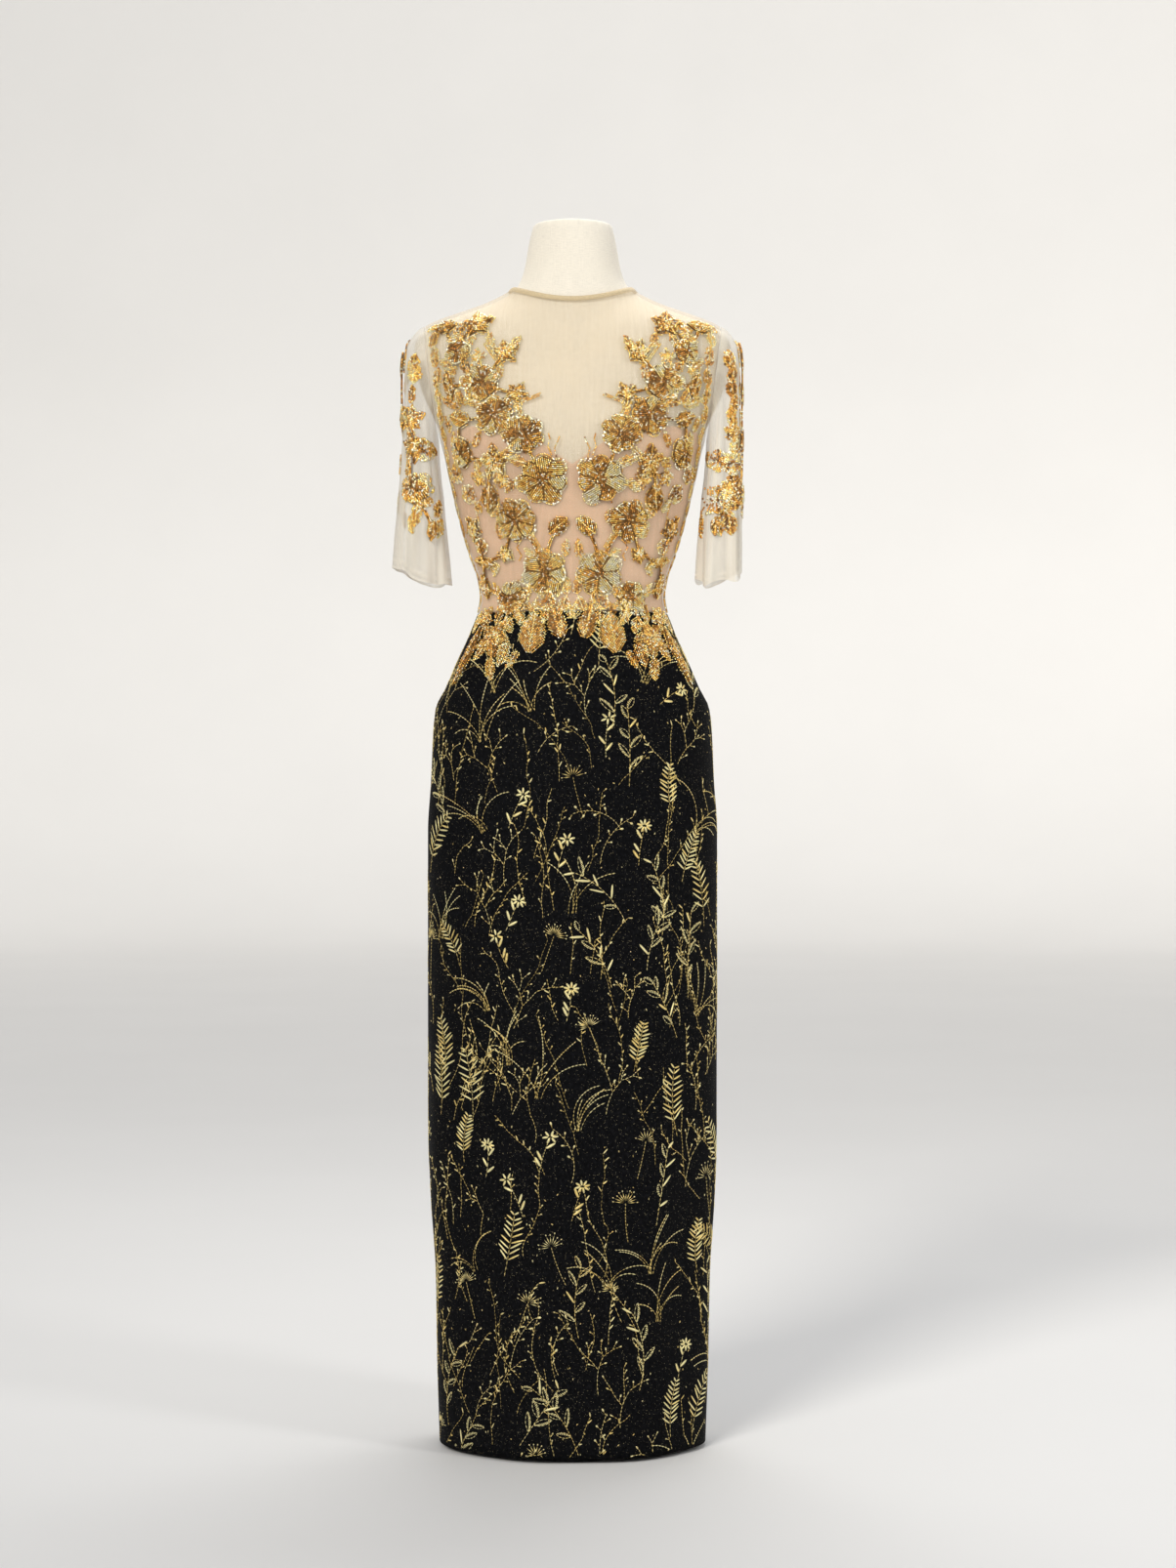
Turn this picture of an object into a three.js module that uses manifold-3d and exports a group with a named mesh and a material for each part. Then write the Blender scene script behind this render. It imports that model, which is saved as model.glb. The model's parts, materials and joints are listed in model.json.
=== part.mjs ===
// A beaded evening gown on a limbless, linen-covered dress form.
// Millimetres, +Z up, origin on the floor under the form's post. The front faces -Y, and "left" is the wearer's left, +X.
// Every cloth piece is a wall laid over one figure: a height and a turn round the figure give a point,
// where turn 0 is centre front, 1 and -1 are the side seams, and 2 and -2 are centre back.
import * as THREE from "three";
import { mergeVertices } from "three/addons/utils/BufferGeometryUtils.js";
import Module from "manifold-3d";

const wasm = await Module();
wasm.setup();

// Driving heights above the floor.
const HEM = 6;
const TORSO_BOTTOM = 760;
const ZIP_END = 925;
const WAIST_SEAM = 1070;
const BUST = 1278;
const NECKLINE = 1490;
const NECK_TOP = 1576;

// Layers, as distances out from the figure. The form's own linen lies a little inside it.
const LINEN = -0.5;
const LINING = { inner: 1, outer: 2 };
const TULLE = { inner: 3.0, outer: 4.0 };
const SEAM = 0.3;

// The beaded sprays stand off the cloth by a gap, as plates with a domed face.
const SPRAY = { gap: 0.9, edge: 1.3, leaf: 2, petal: 1.6, heart: 2.6, stemLow: 0.3, stemHigh: 1.15 };

// The figure, as level sections. wide is the half width, front and back the depths from the post's line,
// square the roundness of the outline (2 is an ellipse), and dip how far the front hangs below the sides.
const FORM_SECTIONS = [
  { z: 760, wide: 158, front: 104, back: 114, square: 2.1, dip: 0 },
  { z: 855, wide: 165, front: 107, back: 118, square: 2.1, dip: 0 },
  { z: 910, wide: 165, front: 106, back: 114, square: 2.1, dip: 0 },
  { z: 951, wide: 160, front: 102, back: 107, square: 2.1, dip: 0 },
  { z: 992, wide: 149, front: 97, back: 97, square: 2.1, dip: 0 },
  { z: 1030, wide: 133, front: 90, back: 86, square: 2.1, dip: 0 },
  { z: 1070, wide: 119, front: 84, back: 78, square: 2.1, dip: 0 },
  { z: 1092, wide: 115, front: 82, back: 76, square: 2.12, dip: 0 },
  { z: 1115, wide: 118, front: 83, back: 77, square: 2.2, dip: 0 },
  { z: 1158, wide: 133, front: 88, back: 81, square: 2.25, dip: 0 },
  { z: 1207, wide: 146.5, front: 95, back: 87, square: 2.3, dip: 0 },
  { z: 1245, wide: 156, front: 101, back: 92, square: 2.35, dip: 0 },
  { z: 1278, wide: 163, front: 105, back: 96, square: 2.35, dip: 0 },
  { z: 1300, wide: 169.5, front: 105, back: 98, square: 2.3, dip: 0 },
  { z: 1325, wide: 180, front: 102, back: 99, square: 2.25, dip: 0 },
  { z: 1360, wide: 196, front: 96, back: 99, square: 2.2, dip: 1 },
  { z: 1400, wide: 206, front: 88, back: 96, square: 2.2, dip: 3 },
  { z: 1422, wide: 204, front: 83, back: 93, square: 2.2, dip: 6 },
  { z: 1431, wide: 198, front: 80, back: 90, square: 2.2, dip: 8 },
  { z: 1440, wide: 187, front: 77, back: 86, square: 2.2, dip: 10 },
  { z: 1449, wide: 167, front: 73, back: 81, square: 2.2, dip: 12 },
  { z: 1458, wide: 141, front: 69, back: 75, square: 2.15, dip: 14 },
  { z: 1467, wide: 116, front: 65, back: 69, square: 2.1, dip: 16 },
  { z: 1476, wide: 96, front: 61, back: 64, square: 2.05, dip: 18 },
  { z: 1484, wide: 82, front: 59, back: 60, square: 2, dip: 19 },
  { z: 1492, wide: 73.5, front: 57.5, back: 57.5, square: 2, dip: 19 },
  { z: 1502, wide: 67.5, front: 56, back: 56, square: 2, dip: 17 },
  { z: 1520, wide: 62, front: 54, back: 54, square: 2, dip: 11 },
  { z: 1540, wide: 58.5, front: 53, back: 53, square: 2, dip: 5 },
  { z: 1556, wide: 55.5, front: 52, back: 52, square: 2, dip: 1 },
  { z: 1566, wide: 53, front: 51, back: 51, square: 2, dip: 0 },
];

// The skirt's outer face, from the hem to the waist seam, where it meets the tulle's outer face.
const SKIRT_SECTIONS = [
  { z: 6, wide: 171, front: 124, back: 131, square: 2.15, dip: 0 },
  { z: 110, wide: 174, front: 125, back: 130, square: 2.1, dip: 0 },
  { z: 223, wide: 176, front: 125, back: 130, square: 2.1, dip: 0 },
  { z: 306, wide: 182, front: 126, back: 131, square: 2.05, dip: 0 },
  { z: 400, wide: 186, front: 126, back: 132, square: 2.05, dip: 0 },
  { z: 640, wide: 187, front: 122, back: 132, square: 2.05, dip: 0 },
  { z: 790, wide: 187, front: 120, back: 133, square: 2.1, dip: 0 },
  { z: 855, wide: 183, front: 118, back: 132, square: 2.1, dip: 0 },
  { z: 910, wide: 180.5, front: 115, back: 127, square: 2.1, dip: 0 },
  { z: 948, wide: 177, front: 112, back: 118, square: 2.1, dip: 0 },
  { z: 975, wide: 164, front: 107, back: 109, square: 2.1, dip: 0 },
  { z: 1010, wide: 149, front: 100, back: 97, square: 2.1, dip: 0 },
  { z: 1040, wide: 135, front: 93, back: 88, square: 2.1, dip: 0 },
  { z: 1070, wide: 123, front: 88, back: 82, square: 2.1, dip: 0 },
];

// Cups: how far the bust stands out, where its points are, and how wide it spreads.
const CUPS = { depth: 15, apart: 75, height: BUST, spreadAcross: 44, spreadUp: 40 };

// Soft lengthwise folds of the skirt. turn is where the fold is at mid height, lean how far it drifts from hem to hip,
// depth its height (a trough is negative), width its half width in turns, top and bottom where it dies out.
const SKIRT_FOLDS = [
  { turn: -0.78, lean: 0.06, depth: 4, width: 0.09, bottom: -200, top: 700 },
  { turn: -0.5, lean: -0.05, depth: -3.5, width: 0.1, bottom: -200, top: 560 },
  { turn: -0.22, lean: 0.04, depth: 3, width: 0.12, bottom: -200, top: 640 },
  { turn: 0.12, lean: 0.1, depth: -4.5, width: 0.08, bottom: -100, top: 820 },
  { turn: 0.36, lean: 0.05, depth: 3.5, width: 0.1, bottom: -200, top: 600 },
  { turn: 0.62, lean: -0.04, depth: -4, width: 0.09, bottom: -200, top: 760 },
  { turn: 0.86, lean: 0.02, depth: 3.5, width: 0.08, bottom: -200, top: 520 },
  { turn: 1.18, lean: 0.05, depth: -4, width: 0.1, bottom: -200, top: 740 },
  { turn: 1.46, lean: -0.03, depth: 5, width: 0.11, bottom: -200, top: 620 },
  { turn: 1.74, lean: 0.03, depth: -4.5, width: 0.1, bottom: -200, top: 800 },
  { turn: -1.2, lean: -0.04, depth: 4, width: 0.1, bottom: -200, top: 680 },
  { turn: -1.5, lean: 0.04, depth: -5, width: 0.11, bottom: -200, top: 780 },
  { turn: -1.77, lean: -0.03, depth: 4.5, width: 0.1, bottom: -200, top: 560 },
];

// The sleeves, from the armhole to the hem, elbow length and open. Each row gives the sleeve's outer and inner edge
// as seen from the front and its depth to the front and back. Right is the wearer's right, drawn as if it were the left.
const SLEEVES = {
  left: [
    { outX: 191.5, outZ: 1442, inX: 173, inZ: 1295, front: 52, back: 55 },
    { outX: 206, outZ: 1433, inX: 173, inZ: 1288, front: 51, back: 55 },
    { outX: 213, outZ: 1417, inX: 172.5, inZ: 1278, front: 50, back: 54 },
    { outX: 216, outZ: 1390, inX: 171.5, inZ: 1264, front: 49, back: 54 },
    { outX: 216, outZ: 1350, inX: 170, inZ: 1245, front: 49, back: 53 },
    { outX: 217, outZ: 1305, inX: 167.5, inZ: 1223, front: 48, back: 52 },
    { outX: 218, outZ: 1255, inX: 165.5, inZ: 1194, front: 47, back: 50 },
    { outX: 219, outZ: 1205, inX: 163, inZ: 1163, front: 46, back: 49 },
    { outX: 219, outZ: 1160, inX: 161.5, inZ: 1133, front: 45, back: 48 },
    { outX: 218, outZ: 1120, inX: 161, inZ: 1108, front: 44, back: 47 },
  ],
  right: [
    { outX: 191.5, outZ: 1442, inX: 173, inZ: 1295, front: 52, back: 55 },
    { outX: 206, outZ: 1433, inX: 173, inZ: 1288, front: 51, back: 55 },
    { outX: 213.5, outZ: 1418, inX: 172.5, inZ: 1278, front: 50, back: 54 },
    { outX: 216.5, outZ: 1392, inX: 171.5, inZ: 1264, front: 50, back: 54 },
    { outX: 217, outZ: 1350, inX: 169.5, inZ: 1245, front: 49, back: 53 },
    { outX: 218.5, outZ: 1305, inX: 166.5, inZ: 1222, front: 49, back: 52 },
    { outX: 221, outZ: 1258, inX: 164, inZ: 1192, front: 48, back: 51 },
    { outX: 224.5, outZ: 1210, inX: 161, inZ: 1162, front: 47, back: 50 },
    { outX: 228, outZ: 1168, inX: 158.5, inZ: 1134, front: 46, back: 48 },
    { outX: 230.5, outZ: 1124, inX: 157, inZ: 1108, front: 45, back: 47 },
  ],
};
const SLEEVE_SQUARE = 2.6;

// Gathers of the sleeves: angle is where they stand round the sleeve in degrees, 0 outside and 90 at the front,
// lean how far they drift towards the hem, and drop how much lower the hem hangs there.
const GATHERS = {
  left: [
    { angle: -148, lean: 12, depth: -6, width: 14, drop: -3 },
    { angle: -104, lean: -8, depth: 5, width: 15, drop: 4 },
    { angle: -58, lean: 10, depth: -6, width: 15, drop: -4 },
    { angle: -20, lean: 4, depth: 4, width: 14, drop: -7 },
    { angle: 16, lean: -4, depth: -5, width: 13, drop: 2 },
    { angle: 52, lean: 6, depth: 5, width: 15, drop: 8 },
    { angle: 88, lean: -8, depth: -7, width: 13, drop: 1 },
    { angle: 120, lean: 8, depth: 5, width: 13, drop: 6 },
    { angle: 146, lean: -4, depth: -6, width: 11, drop: -2 },
    { angle: 172, lean: -6, depth: 4, width: 12, drop: -7 },
  ],
  right: [
    { angle: -152, lean: 8, depth: -5, width: 16, drop: -2 },
    { angle: -96, lean: -10, depth: 6, width: 18, drop: 5 },
    { angle: -40, lean: 8, depth: -6, width: 17, drop: -3 },
    { angle: 12, lean: -4, depth: 3, width: 18, drop: -6 },
    { angle: 50, lean: 6, depth: -5, width: 15, drop: -4 },
    { angle: 86, lean: 6, depth: 5, width: 16, drop: 6 },
    { angle: 122, lean: -6, depth: -6, width: 13, drop: 4 },
    { angle: 156, lean: 4, depth: 4, width: 13, drop: 2 },
  ],
};
const SLEEVE_WALL = { outer: 0, inner: -1.1 };

// The armhole is cut by a plane that leans in towards the armpit.
const ARMHOLE = { lowX: 171.5, lowZ: 1290, highX: 191, highZ: 1443 };

// Smooth value of one named column of a section table at height z.
function column(rows, key, z) {
  const last = rows.length - 1;
  if (z <= rows[0].z) return rows[0][key];
  if (z >= rows[last].z) return rows[last][key];
  let i = 0;
  while (rows[i + 1].z < z) i++;
  const slope = (a, b) => (rows[b][key] - rows[a][key]) / (rows[b].z - rows[a].z);
  const chord = slope(i, i + 1);
  // A tangent is the mean of the chords beside it, and flat where they turn back, so that no section overshoots.
  const tangent = (a, b) => (a * b <= 0 ? 0 : (2 * a * b) / (a + b));
  const before = i > 0 ? slope(i - 1, i) : chord;
  const after = i + 2 <= last ? slope(i + 1, i + 2) : chord;
  const start = tangent(before, chord);
  const end = tangent(chord, after);
  const span = rows[i + 1].z - rows[i].z;
  const t = (z - rows[i].z) / span;
  const t2 = t * t;
  const t3 = t2 * t;
  return (
    (2 * t3 - 3 * t2 + 1) * rows[i][key] +
    (t3 - 2 * t2 + t) * span * start +
    (3 * t2 - 2 * t3) * rows[i + 1][key] +
    (t3 - t2) * span * end
  );
}

// A quarter of the outline at height z, from the centre line to the side, with its running length.
const QUARTER_STEPS = 32;
const quarters = new Map();
function quarter(rows, z, inFront) {
  const key = `${rows.length} ${z.toFixed(3)} ${inFront}`;
  if (quarters.has(key)) return quarters.get(key);
  const wide = column(rows, "wide", z);
  const depth = column(rows, inFront ? "front" : "back", z);
  const power = 2 / column(rows, "square", z);
  const points = [];
  for (let i = 0; i <= QUARTER_STEPS; i++) {
    const angle = ((Math.PI / 2) * i) / QUARTER_STEPS;
    const x = wide * Math.sin(angle) ** power;
    const y = depth * Math.max(0, Math.cos(angle)) ** power;
    const before = points[i - 1];
    const run = before ? before.run + Math.hypot(x - before.x, y - before.y) : 0;
    points.push({ x, y, run });
  }
  const made = { points, length: points[QUARTER_STEPS].run, depth, dip: column(rows, "dip", z) };
  quarters.set(key, made);
  return made;
}

// A bare outline's point at a height and a turn, before cups and folds.
function outlinePoint(rows, z, turn) {
  const side = turn < 0 ? -1 : 1;
  const inFront = Math.abs(turn) <= 1;
  const q = quarter(rows, z, inFront);
  const share = inFront ? Math.abs(turn) : 2 - Math.abs(turn);
  const run = Math.min(1, Math.max(0, share)) * q.length;
  let i = 0;
  while (i < QUARTER_STEPS - 1 && q.points[i + 1].run < run) i++;
  const a = q.points[i];
  const b = q.points[i + 1];
  const t = (run - a.run) / (b.run - a.run);
  const x = a.x + (b.x - a.x) * t;
  const y = a.y + (b.y - a.y) * t;
  const facing = y / q.depth;
  return {
    x: side * x,
    y: inFront ? -y : y,
    z: z - (inFront ? q.dip * facing * facing : 0),
    facing: inFront ? facing : 0,
  };
}

const bell = (x, spread) => Math.exp((-x * x) / (2 * spread * spread));

function formPoint(z, turn) {
  const p = outlinePoint(FORM_SECTIONS, z, turn);
  const across = bell(p.x - CUPS.apart, CUPS.spreadAcross) + bell(p.x + CUPS.apart, CUPS.spreadAcross);
  const cup = CUPS.depth * across * bell(p.z - CUPS.height, CUPS.spreadUp) * Math.sqrt(Math.max(0, p.facing));
  return new THREE.Vector3(p.x, p.y - cup, p.z);
}

function foldDepth(z, turn) {
  let sum = 0;
  for (const fold of SKIRT_FOLDS) {
    const middle = (fold.top + fold.bottom) / 2;
    const reach = (fold.top - fold.bottom) / 2;
    const t = (z - middle) / reach;
    if (Math.abs(t) >= 1) continue;
    const drift = fold.turn + fold.lean * t;
    let apart = Math.abs(turn - drift);
    apart = Math.min(apart, 4 - apart);
    sum += fold.depth * (1 - t * t) ** 1.5 * bell(apart, fold.width);
  }
  return sum;
}

function skirtPoint(z, turn) {
  const p = outlinePoint(SKIRT_SECTIONS, z, turn);
  const out = foldDepth(z, turn) / Math.hypot(p.x, p.y);
  return new THREE.Vector3(p.x * (1 + out), p.y * (1 + out), p.z);
}

// A surface's outward normal from small steps along its two directions.
function normalOf(surface, u, v, stepU, stepV) {
  const along = surface(u, v + stepV).sub(surface(u, v - stepV));
  const up = surface(u + stepU, v).sub(surface(u - stepU, v));
  return along.cross(up).normalize();
}

const formNormal = (z, turn) => normalOf(formPoint, z, turn, 1.5, 0.01);
const skirtNormal = (z, turn) => normalOf(skirtPoint, z, turn, 2, 0.01);
const overForm = (z, turn, out) => formPoint(z, turn).addScaledVector(formNormal(z, turn), out);
const overSkirt = (z, turn, out) => skirtPoint(z, turn).addScaledVector(skirtNormal(z, turn), out);

// The gown's outer face from hem to neckline, and out from it.
function overGown(z, turn, out) {
  return z >= WAIST_SEAM ? overForm(z, turn, TULLE.outer + out) : overSkirt(z, turn, out);
}

const armholeX = (z) =>
  ARMHOLE.lowX + ((z - ARMHOLE.lowZ) / (ARMHOLE.highZ - ARMHOLE.lowZ)) * (ARMHOLE.highX - ARMHOLE.lowX);

// The turn at which the tulle at this height meets the armhole plane, moved by gap, or 1 where it doesn't reach it.
function armholeTurn(z, inFront, gap) {
  const past = (share) => {
    const p = overForm(z, inFront ? share : 2 - share, TULLE.outer);
    return p.x - (armholeX(p.z) + gap);
  };
  if (past(1) <= 0) return 1;
  let low = 0;
  let high = 1;
  for (let i = 0; i < 40; i++) {
    const middle = (low + high) / 2;
    if (past(middle) > 0) high = middle;
    else low = middle;
  }
  return inFront ? low : 2 - low;
}

// The lowest and highest levels that the armhole plane cuts.
function armholeEnds(gap) {
  const cut = (z) => overForm(z, 1, TULLE.outer).x - armholeX(z) - gap;
  const edge = (inside, outside) => {
    let a = inside;
    let b = outside;
    for (let i = 0; i < 40; i++) {
      const middle = (a + b) / 2;
      if (cut(middle) > 0) a = middle;
      else b = middle;
    }
    return a;
  };
  const middle = (ARMHOLE.lowZ + ARMHOLE.highZ) / 2;
  return { low: edge(middle, BUST), high: edge(middle, NECKLINE - 10) };
}

// A closed wall from two grids of points, outer and inner, rows from bottom to top and columns towards growing turn.
function wall(outer, inner, closedAround) {
  const rows = outer.length;
  const columns = outer[0].length;
  const positions = [];
  const index = [];
  for (const grid of [outer, inner]) for (const row of grid) for (const p of row) positions.push(p.x, p.y, p.z);
  const at = (layer, i, j) => layer * rows * columns + i * columns + (j % columns);
  const quad = (a, b, c, d) => index.push(a, b, c, a, c, d);
  const spans = closedAround ? columns : columns - 1;
  const outward = (i, j) => outer[i][j % columns];
  for (let i = 0; i < rows - 1; i++) {
    for (let j = 0; j < spans; j++) {
      // Both layers split each cell along the shorter diagonal of the outer one.
      const rising = outward(i, j).distanceTo(outward(i + 1, j + 1));
      const falling = outward(i, j + 1).distanceTo(outward(i + 1, j));
      const a = [i, j];
      const b = [i, j + 1];
      const c = [i + 1, j + 1];
      const d = [i + 1, j];
      const [p, q, r, s] = rising <= falling ? [a, b, c, d] : [b, c, d, a];
      quad(at(0, ...p), at(0, ...q), at(0, ...r), at(0, ...s));
      index.push(at(1, ...p), at(1, ...r), at(1, ...q), at(1, ...p), at(1, ...s), at(1, ...r));
    }
  }
  for (let j = 0; j < spans; j++) {
    quad(at(1, 0, j), at(1, 0, j + 1), at(0, 0, j + 1), at(0, 0, j));
    const top = rows - 1;
    quad(at(0, top, j), at(0, top, j + 1), at(1, top, j + 1), at(1, top, j));
  }
  if (!closedAround) {
    for (let i = 0; i < rows - 1; i++) {
      quad(at(1, i, 0), at(0, i, 0), at(0, i + 1, 0), at(1, i + 1, 0));
      const end = columns - 1;
      quad(at(0, i, end), at(1, i, end), at(1, i + 1, end), at(0, i + 1, end));
    }
  }
  return geometryOf(positions, index);
}

function geometryOf(positions, index) {
  const geometry = new THREE.BufferGeometry();
  geometry.setAttribute("position", new THREE.Float32BufferAttribute(positions, 3));
  geometry.setIndex(index);
  return geometry;
}

// A cloth panel: levels from bottom to top, and for each the turns between its two edges.
function panel(over, layer, levels, edges, columns) {
  const grid = (out) =>
    levels.map((level) => {
      const [from, to] = edges(level);
      return Array.from({ length: columns + 1 }, (_, j) => {
        const turn = from + ((to - from) * j) / columns;
        const z = typeof level === "function" ? level(turn) : level;
        return over(z, turn, out);
      });
    });
  return wall(grid(layer.outer), grid(layer.inner), false);
}

// A turn moved by a distance along the outline, for seam gaps and the zip's slot.
function turnBy(rows, z, turn, distance) {
  const q = quarter(rows, z, Math.abs(turn) < 1);
  return turn + distance / q.length;
}

const material = (color, roughness, metalness = 0, opacity = 1) =>
  new THREE.MeshStandardMaterial({ color, roughness, metalness, opacity, transparent: opacity < 1 });
const MATERIALS = {
  linen: material(0xe9dfc6, 0.9),
  steel: material(0x2c2c2e, 0.45, 0.8),
  lining: material(0xe8b996, 0.6),
  tulle: material(0xe3cfa8, 0.8, 0, 0.4),
  binding: material(0xd9c093, 0.7),
  skirt: material(0x0c0d10, 0.7),
  zip: material(0xd8bd95, 0.6),
  gold: material(0xb8862f, 0.35, 0.8),
};

const model = new THREE.Group();
function add(name, geometry, finish) {
  const mesh = new THREE.Mesh(geometry, MATERIALS[finish]);
  mesh.name = name;
  model.add(mesh);
  return mesh;
}

// Levels of the bodice that the torso and the walls over it share, so that their facets lie alike.
const BODICE_LEVELS = [1081, 1092, 1104, 1128, 1160, 1195, 1226, 1248, 1268, 1286];

// The dress form: one closed, linen-covered body from the hips to a softly domed neck top.
function torso() {
  const around = 28;
  const shoulders = [1312, 1345, 1378, 1406, 1424, 1437, 1447, 1457, 1467, 1477, 1488, 1504, 1530, 1566];
  const covered = BODICE_LEVELS.filter((z) => z !== 1248);
  const levels = [TORSO_BOTTOM, 900, 975, WAIST_SEAM, ...covered, ...shoulders];
  const rings = levels.map((z) =>
    Array.from({ length: around }, (_, j) => overForm(z, -2 + (4 * j) / around, LINEN)),
  );
  for (const p of rings[0]) p.z = TORSO_BOTTOM;
  // The cap rounds over from the neck's edge to its flat top.
  const edge = rings[rings.length - 1];
  for (const cap of [
    { share: 0.95, z: 1571.5 },
    { share: 0.75, z: 1574.5 },
  ]) {
    rings.push(edge.map((p) => new THREE.Vector3(p.x * cap.share, p.y * cap.share, cap.z)));
  }
  const positions = rings.flat().flatMap((p) => [p.x, p.y, p.z]);
  const index = [];
  for (let i = 0; i < rings.length - 1; i++) {
    for (let j = 0; j < around; j++) {
      const k = (j + 1) % around;
      const a = i * around;
      index.push(a + j, a + k, a + around + k, a + j, a + around + k, a + around + j);
    }
  }
  const bottom = positions.length / 3;
  positions.push(0, 0, TORSO_BOTTOM, 0, 0, NECK_TOP);
  const last = (rings.length - 1) * around;
  for (let j = 0; j < around; j++) {
    const k = (j + 1) % around;
    index.push(bottom, k, j, bottom + 1, last + j, last + k);
  }
  return geometryOf(positions, index);
}

// The stand: a steel post into the torso, and a round flat base with a rounded rim.
const BASE = { radius: 112, thick: 14, rim: 3 };
const POST = { radius: 12.5, sides: 14 };
function base() {
  const profile = [
    [0, 0],
    [BASE.radius - BASE.rim, 0],
    [BASE.radius, BASE.rim],
    [BASE.radius, BASE.thick - BASE.rim],
    [BASE.radius - BASE.rim, BASE.thick],
    [0, BASE.thick],
  ].map(([x, y]) => new THREE.Vector2(x, y));
  return new THREE.LatheGeometry(profile, 28).rotateX(Math.PI / 2);
}
function post() {
  const length = TORSO_BOTTOM - BASE.thick - 2 * SEAM;
  return new THREE.CylinderGeometry(POST.radius, POST.radius, length, POST.sides)
    .rotateX(Math.PI / 2)
    .translate(0, 0, BASE.thick + SEAM + length / 2);
}

add("form_torso", torso(), "linen");
add("form_post", post(), "steel");
add("form_base", base(), "steel");

const ARM = armholeEnds(0);
const CUT = armholeEnds(-SEAM);
const armholeLevels = Array.from({ length: 7 }, (_, i) => {
  // The first and last rows lie just outside the cut, where the side and shoulder seams begin.
  const reach = (CUT.high - CUT.low) / 2 + 0.05;
  return (CUT.low + CUT.high) / 2 - reach * Math.cos((Math.PI * i) / 6);
});
const YOKE_LEVELS = [1454, 1465, 1475, 1485.5];
const TULLE_LEVELS = [WAIST_SEAM + SEAM, ...BODICE_LEVELS, ...armholeLevels, ...YOKE_LEVELS];

const ZIP = { halfWidth: 3, gap: 0.4, inner: 2.6, outer: 4.2 };

// The tulle bodice. Its side edges follow the side seam, the armhole and then the shoulder seam.
function tulleFrontEdge(z) {
  const edge = armholeTurn(z, true, -SEAM);
  return edge === 1 ? turnBy(FORM_SECTIONS, z, 1, -SEAM / 2) : edge;
}
function tulleBackEdge(z) {
  const edge = armholeTurn(z, false, -SEAM);
  return edge === 1 ? turnBy(FORM_SECTIONS, z, 1, SEAM / 2) : edge;
}
const zipEdge = (rows, z) => turnBy(rows, z, 2, -(ZIP.halfWidth + ZIP.gap));

add(
  "tulle_front",
  panel(overForm, TULLE, TULLE_LEVELS, (z) => [-tulleFrontEdge(z), tulleFrontEdge(z)], 18),
  "tulle",
);
add(
  "tulle_back_left",
  panel(overForm, TULLE, TULLE_LEVELS, (z) => [tulleBackEdge(z), zipEdge(FORM_SECTIONS, z)], 8),
  "tulle",
);
add(
  "tulle_back_right",
  panel(overForm, TULLE, TULLE_LEVELS, (z) => [-zipEdge(FORM_SECTIONS, z), -tulleBackEdge(z)], 8),
  "tulle",
);

// The blush lining. Its top edge dips to a V at centre front and lies straight under the arms and across the back.
const LINING_TOP = [
  { turn: 0, z: 1253 },
  { turn: 0.08, z: 1264 },
  { turn: 0.2, z: 1283 },
  { turn: 0.4, z: 1298 },
  { turn: 0.6, z: 1304 },
  { turn: 0.8, z: 1299 },
  { turn: 1, z: 1284 },
  { turn: 1.3, z: 1280 },
  { turn: 2, z: 1276 },
];
function liningTop(turn) {
  const at = Math.abs(turn);
  let i = 0;
  while (i < LINING_TOP.length - 2 && LINING_TOP[i + 1].turn < at) i++;
  const a = LINING_TOP[i];
  const b = LINING_TOP[i + 1];
  return a.z + ((b.z - a.z) * (at - a.turn)) / (b.turn - a.turn);
}
const liningLevels = [WAIST_SEAM + SEAM, ...BODICE_LEVELS.slice(0, 7)];
const liningLast = BODICE_LEVELS[6];
for (const share of [0.35, 0.7, 1]) liningLevels.push((turn) => liningLast + (liningTop(turn) - liningLast) * share);
const liningSide = (SEAM / 2 + 0.1) / 190;
const liningBack = (ZIP.halfWidth + ZIP.gap + 0.4) / 150;
add(
  "lining_front",
  panel(overForm, LINING, liningLevels, () => [-1 + liningSide, 1 - liningSide], 18),
  "lining",
);
add(
  "lining_back_left",
  panel(overForm, LINING, liningLevels, () => [1 + liningSide, 2 - liningBack], 8),
  "lining",
);
add(
  "lining_back_right",
  panel(overForm, LINING, liningLevels, () => [-2 + liningBack, -1 - liningSide], 8),
  "lining",
);

// The neck binding, a narrow folded strip round the neckline, open by a hair at centre back.
const BINDING = { inner: 2.4, outer: 4.4 };
add(
  "neck_binding",
  panel(overForm, BINDING, [1486, NECKLINE + 1], () => [-2 + 0.006, 2 - 0.006], 26),
  "binding",
);

// The skirt, cut as a front and two backs. The zip's slot ends below the hip.
const SKIRT_WALL = { outer: 0, inner: -1.6 };
const SKIRT_LEVELS = [HEM, 110, 240, 380, 520, 660, 790, 880, ZIP_END, 950, 972, 1000, 1034, WAIST_SEAM];
const SKIRT_BACK_LEVELS = SKIRT_LEVELS.map((z) => (z === 880 ? ZIP_END - 4 : z));
function skirtBackEdge(z) {
  return turnBy(SKIRT_SECTIONS, z, 2, z < ZIP_END ? -SEAM : -(ZIP.halfWidth + ZIP.gap));
}
const skirtSide = (z, sign) => turnBy(SKIRT_SECTIONS, z, 1, (sign * SEAM) / 2);
add(
  "skirt_front",
  panel(overSkirt, SKIRT_WALL, SKIRT_LEVELS, (z) => [-skirtSide(z, -1), skirtSide(z, -1)], 20),
  "skirt",
);
add(
  "skirt_back_left",
  panel(overSkirt, SKIRT_WALL, SKIRT_BACK_LEVELS, (z) => [skirtSide(z, 1), skirtBackEdge(z)], 9),
  "skirt",
);
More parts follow.
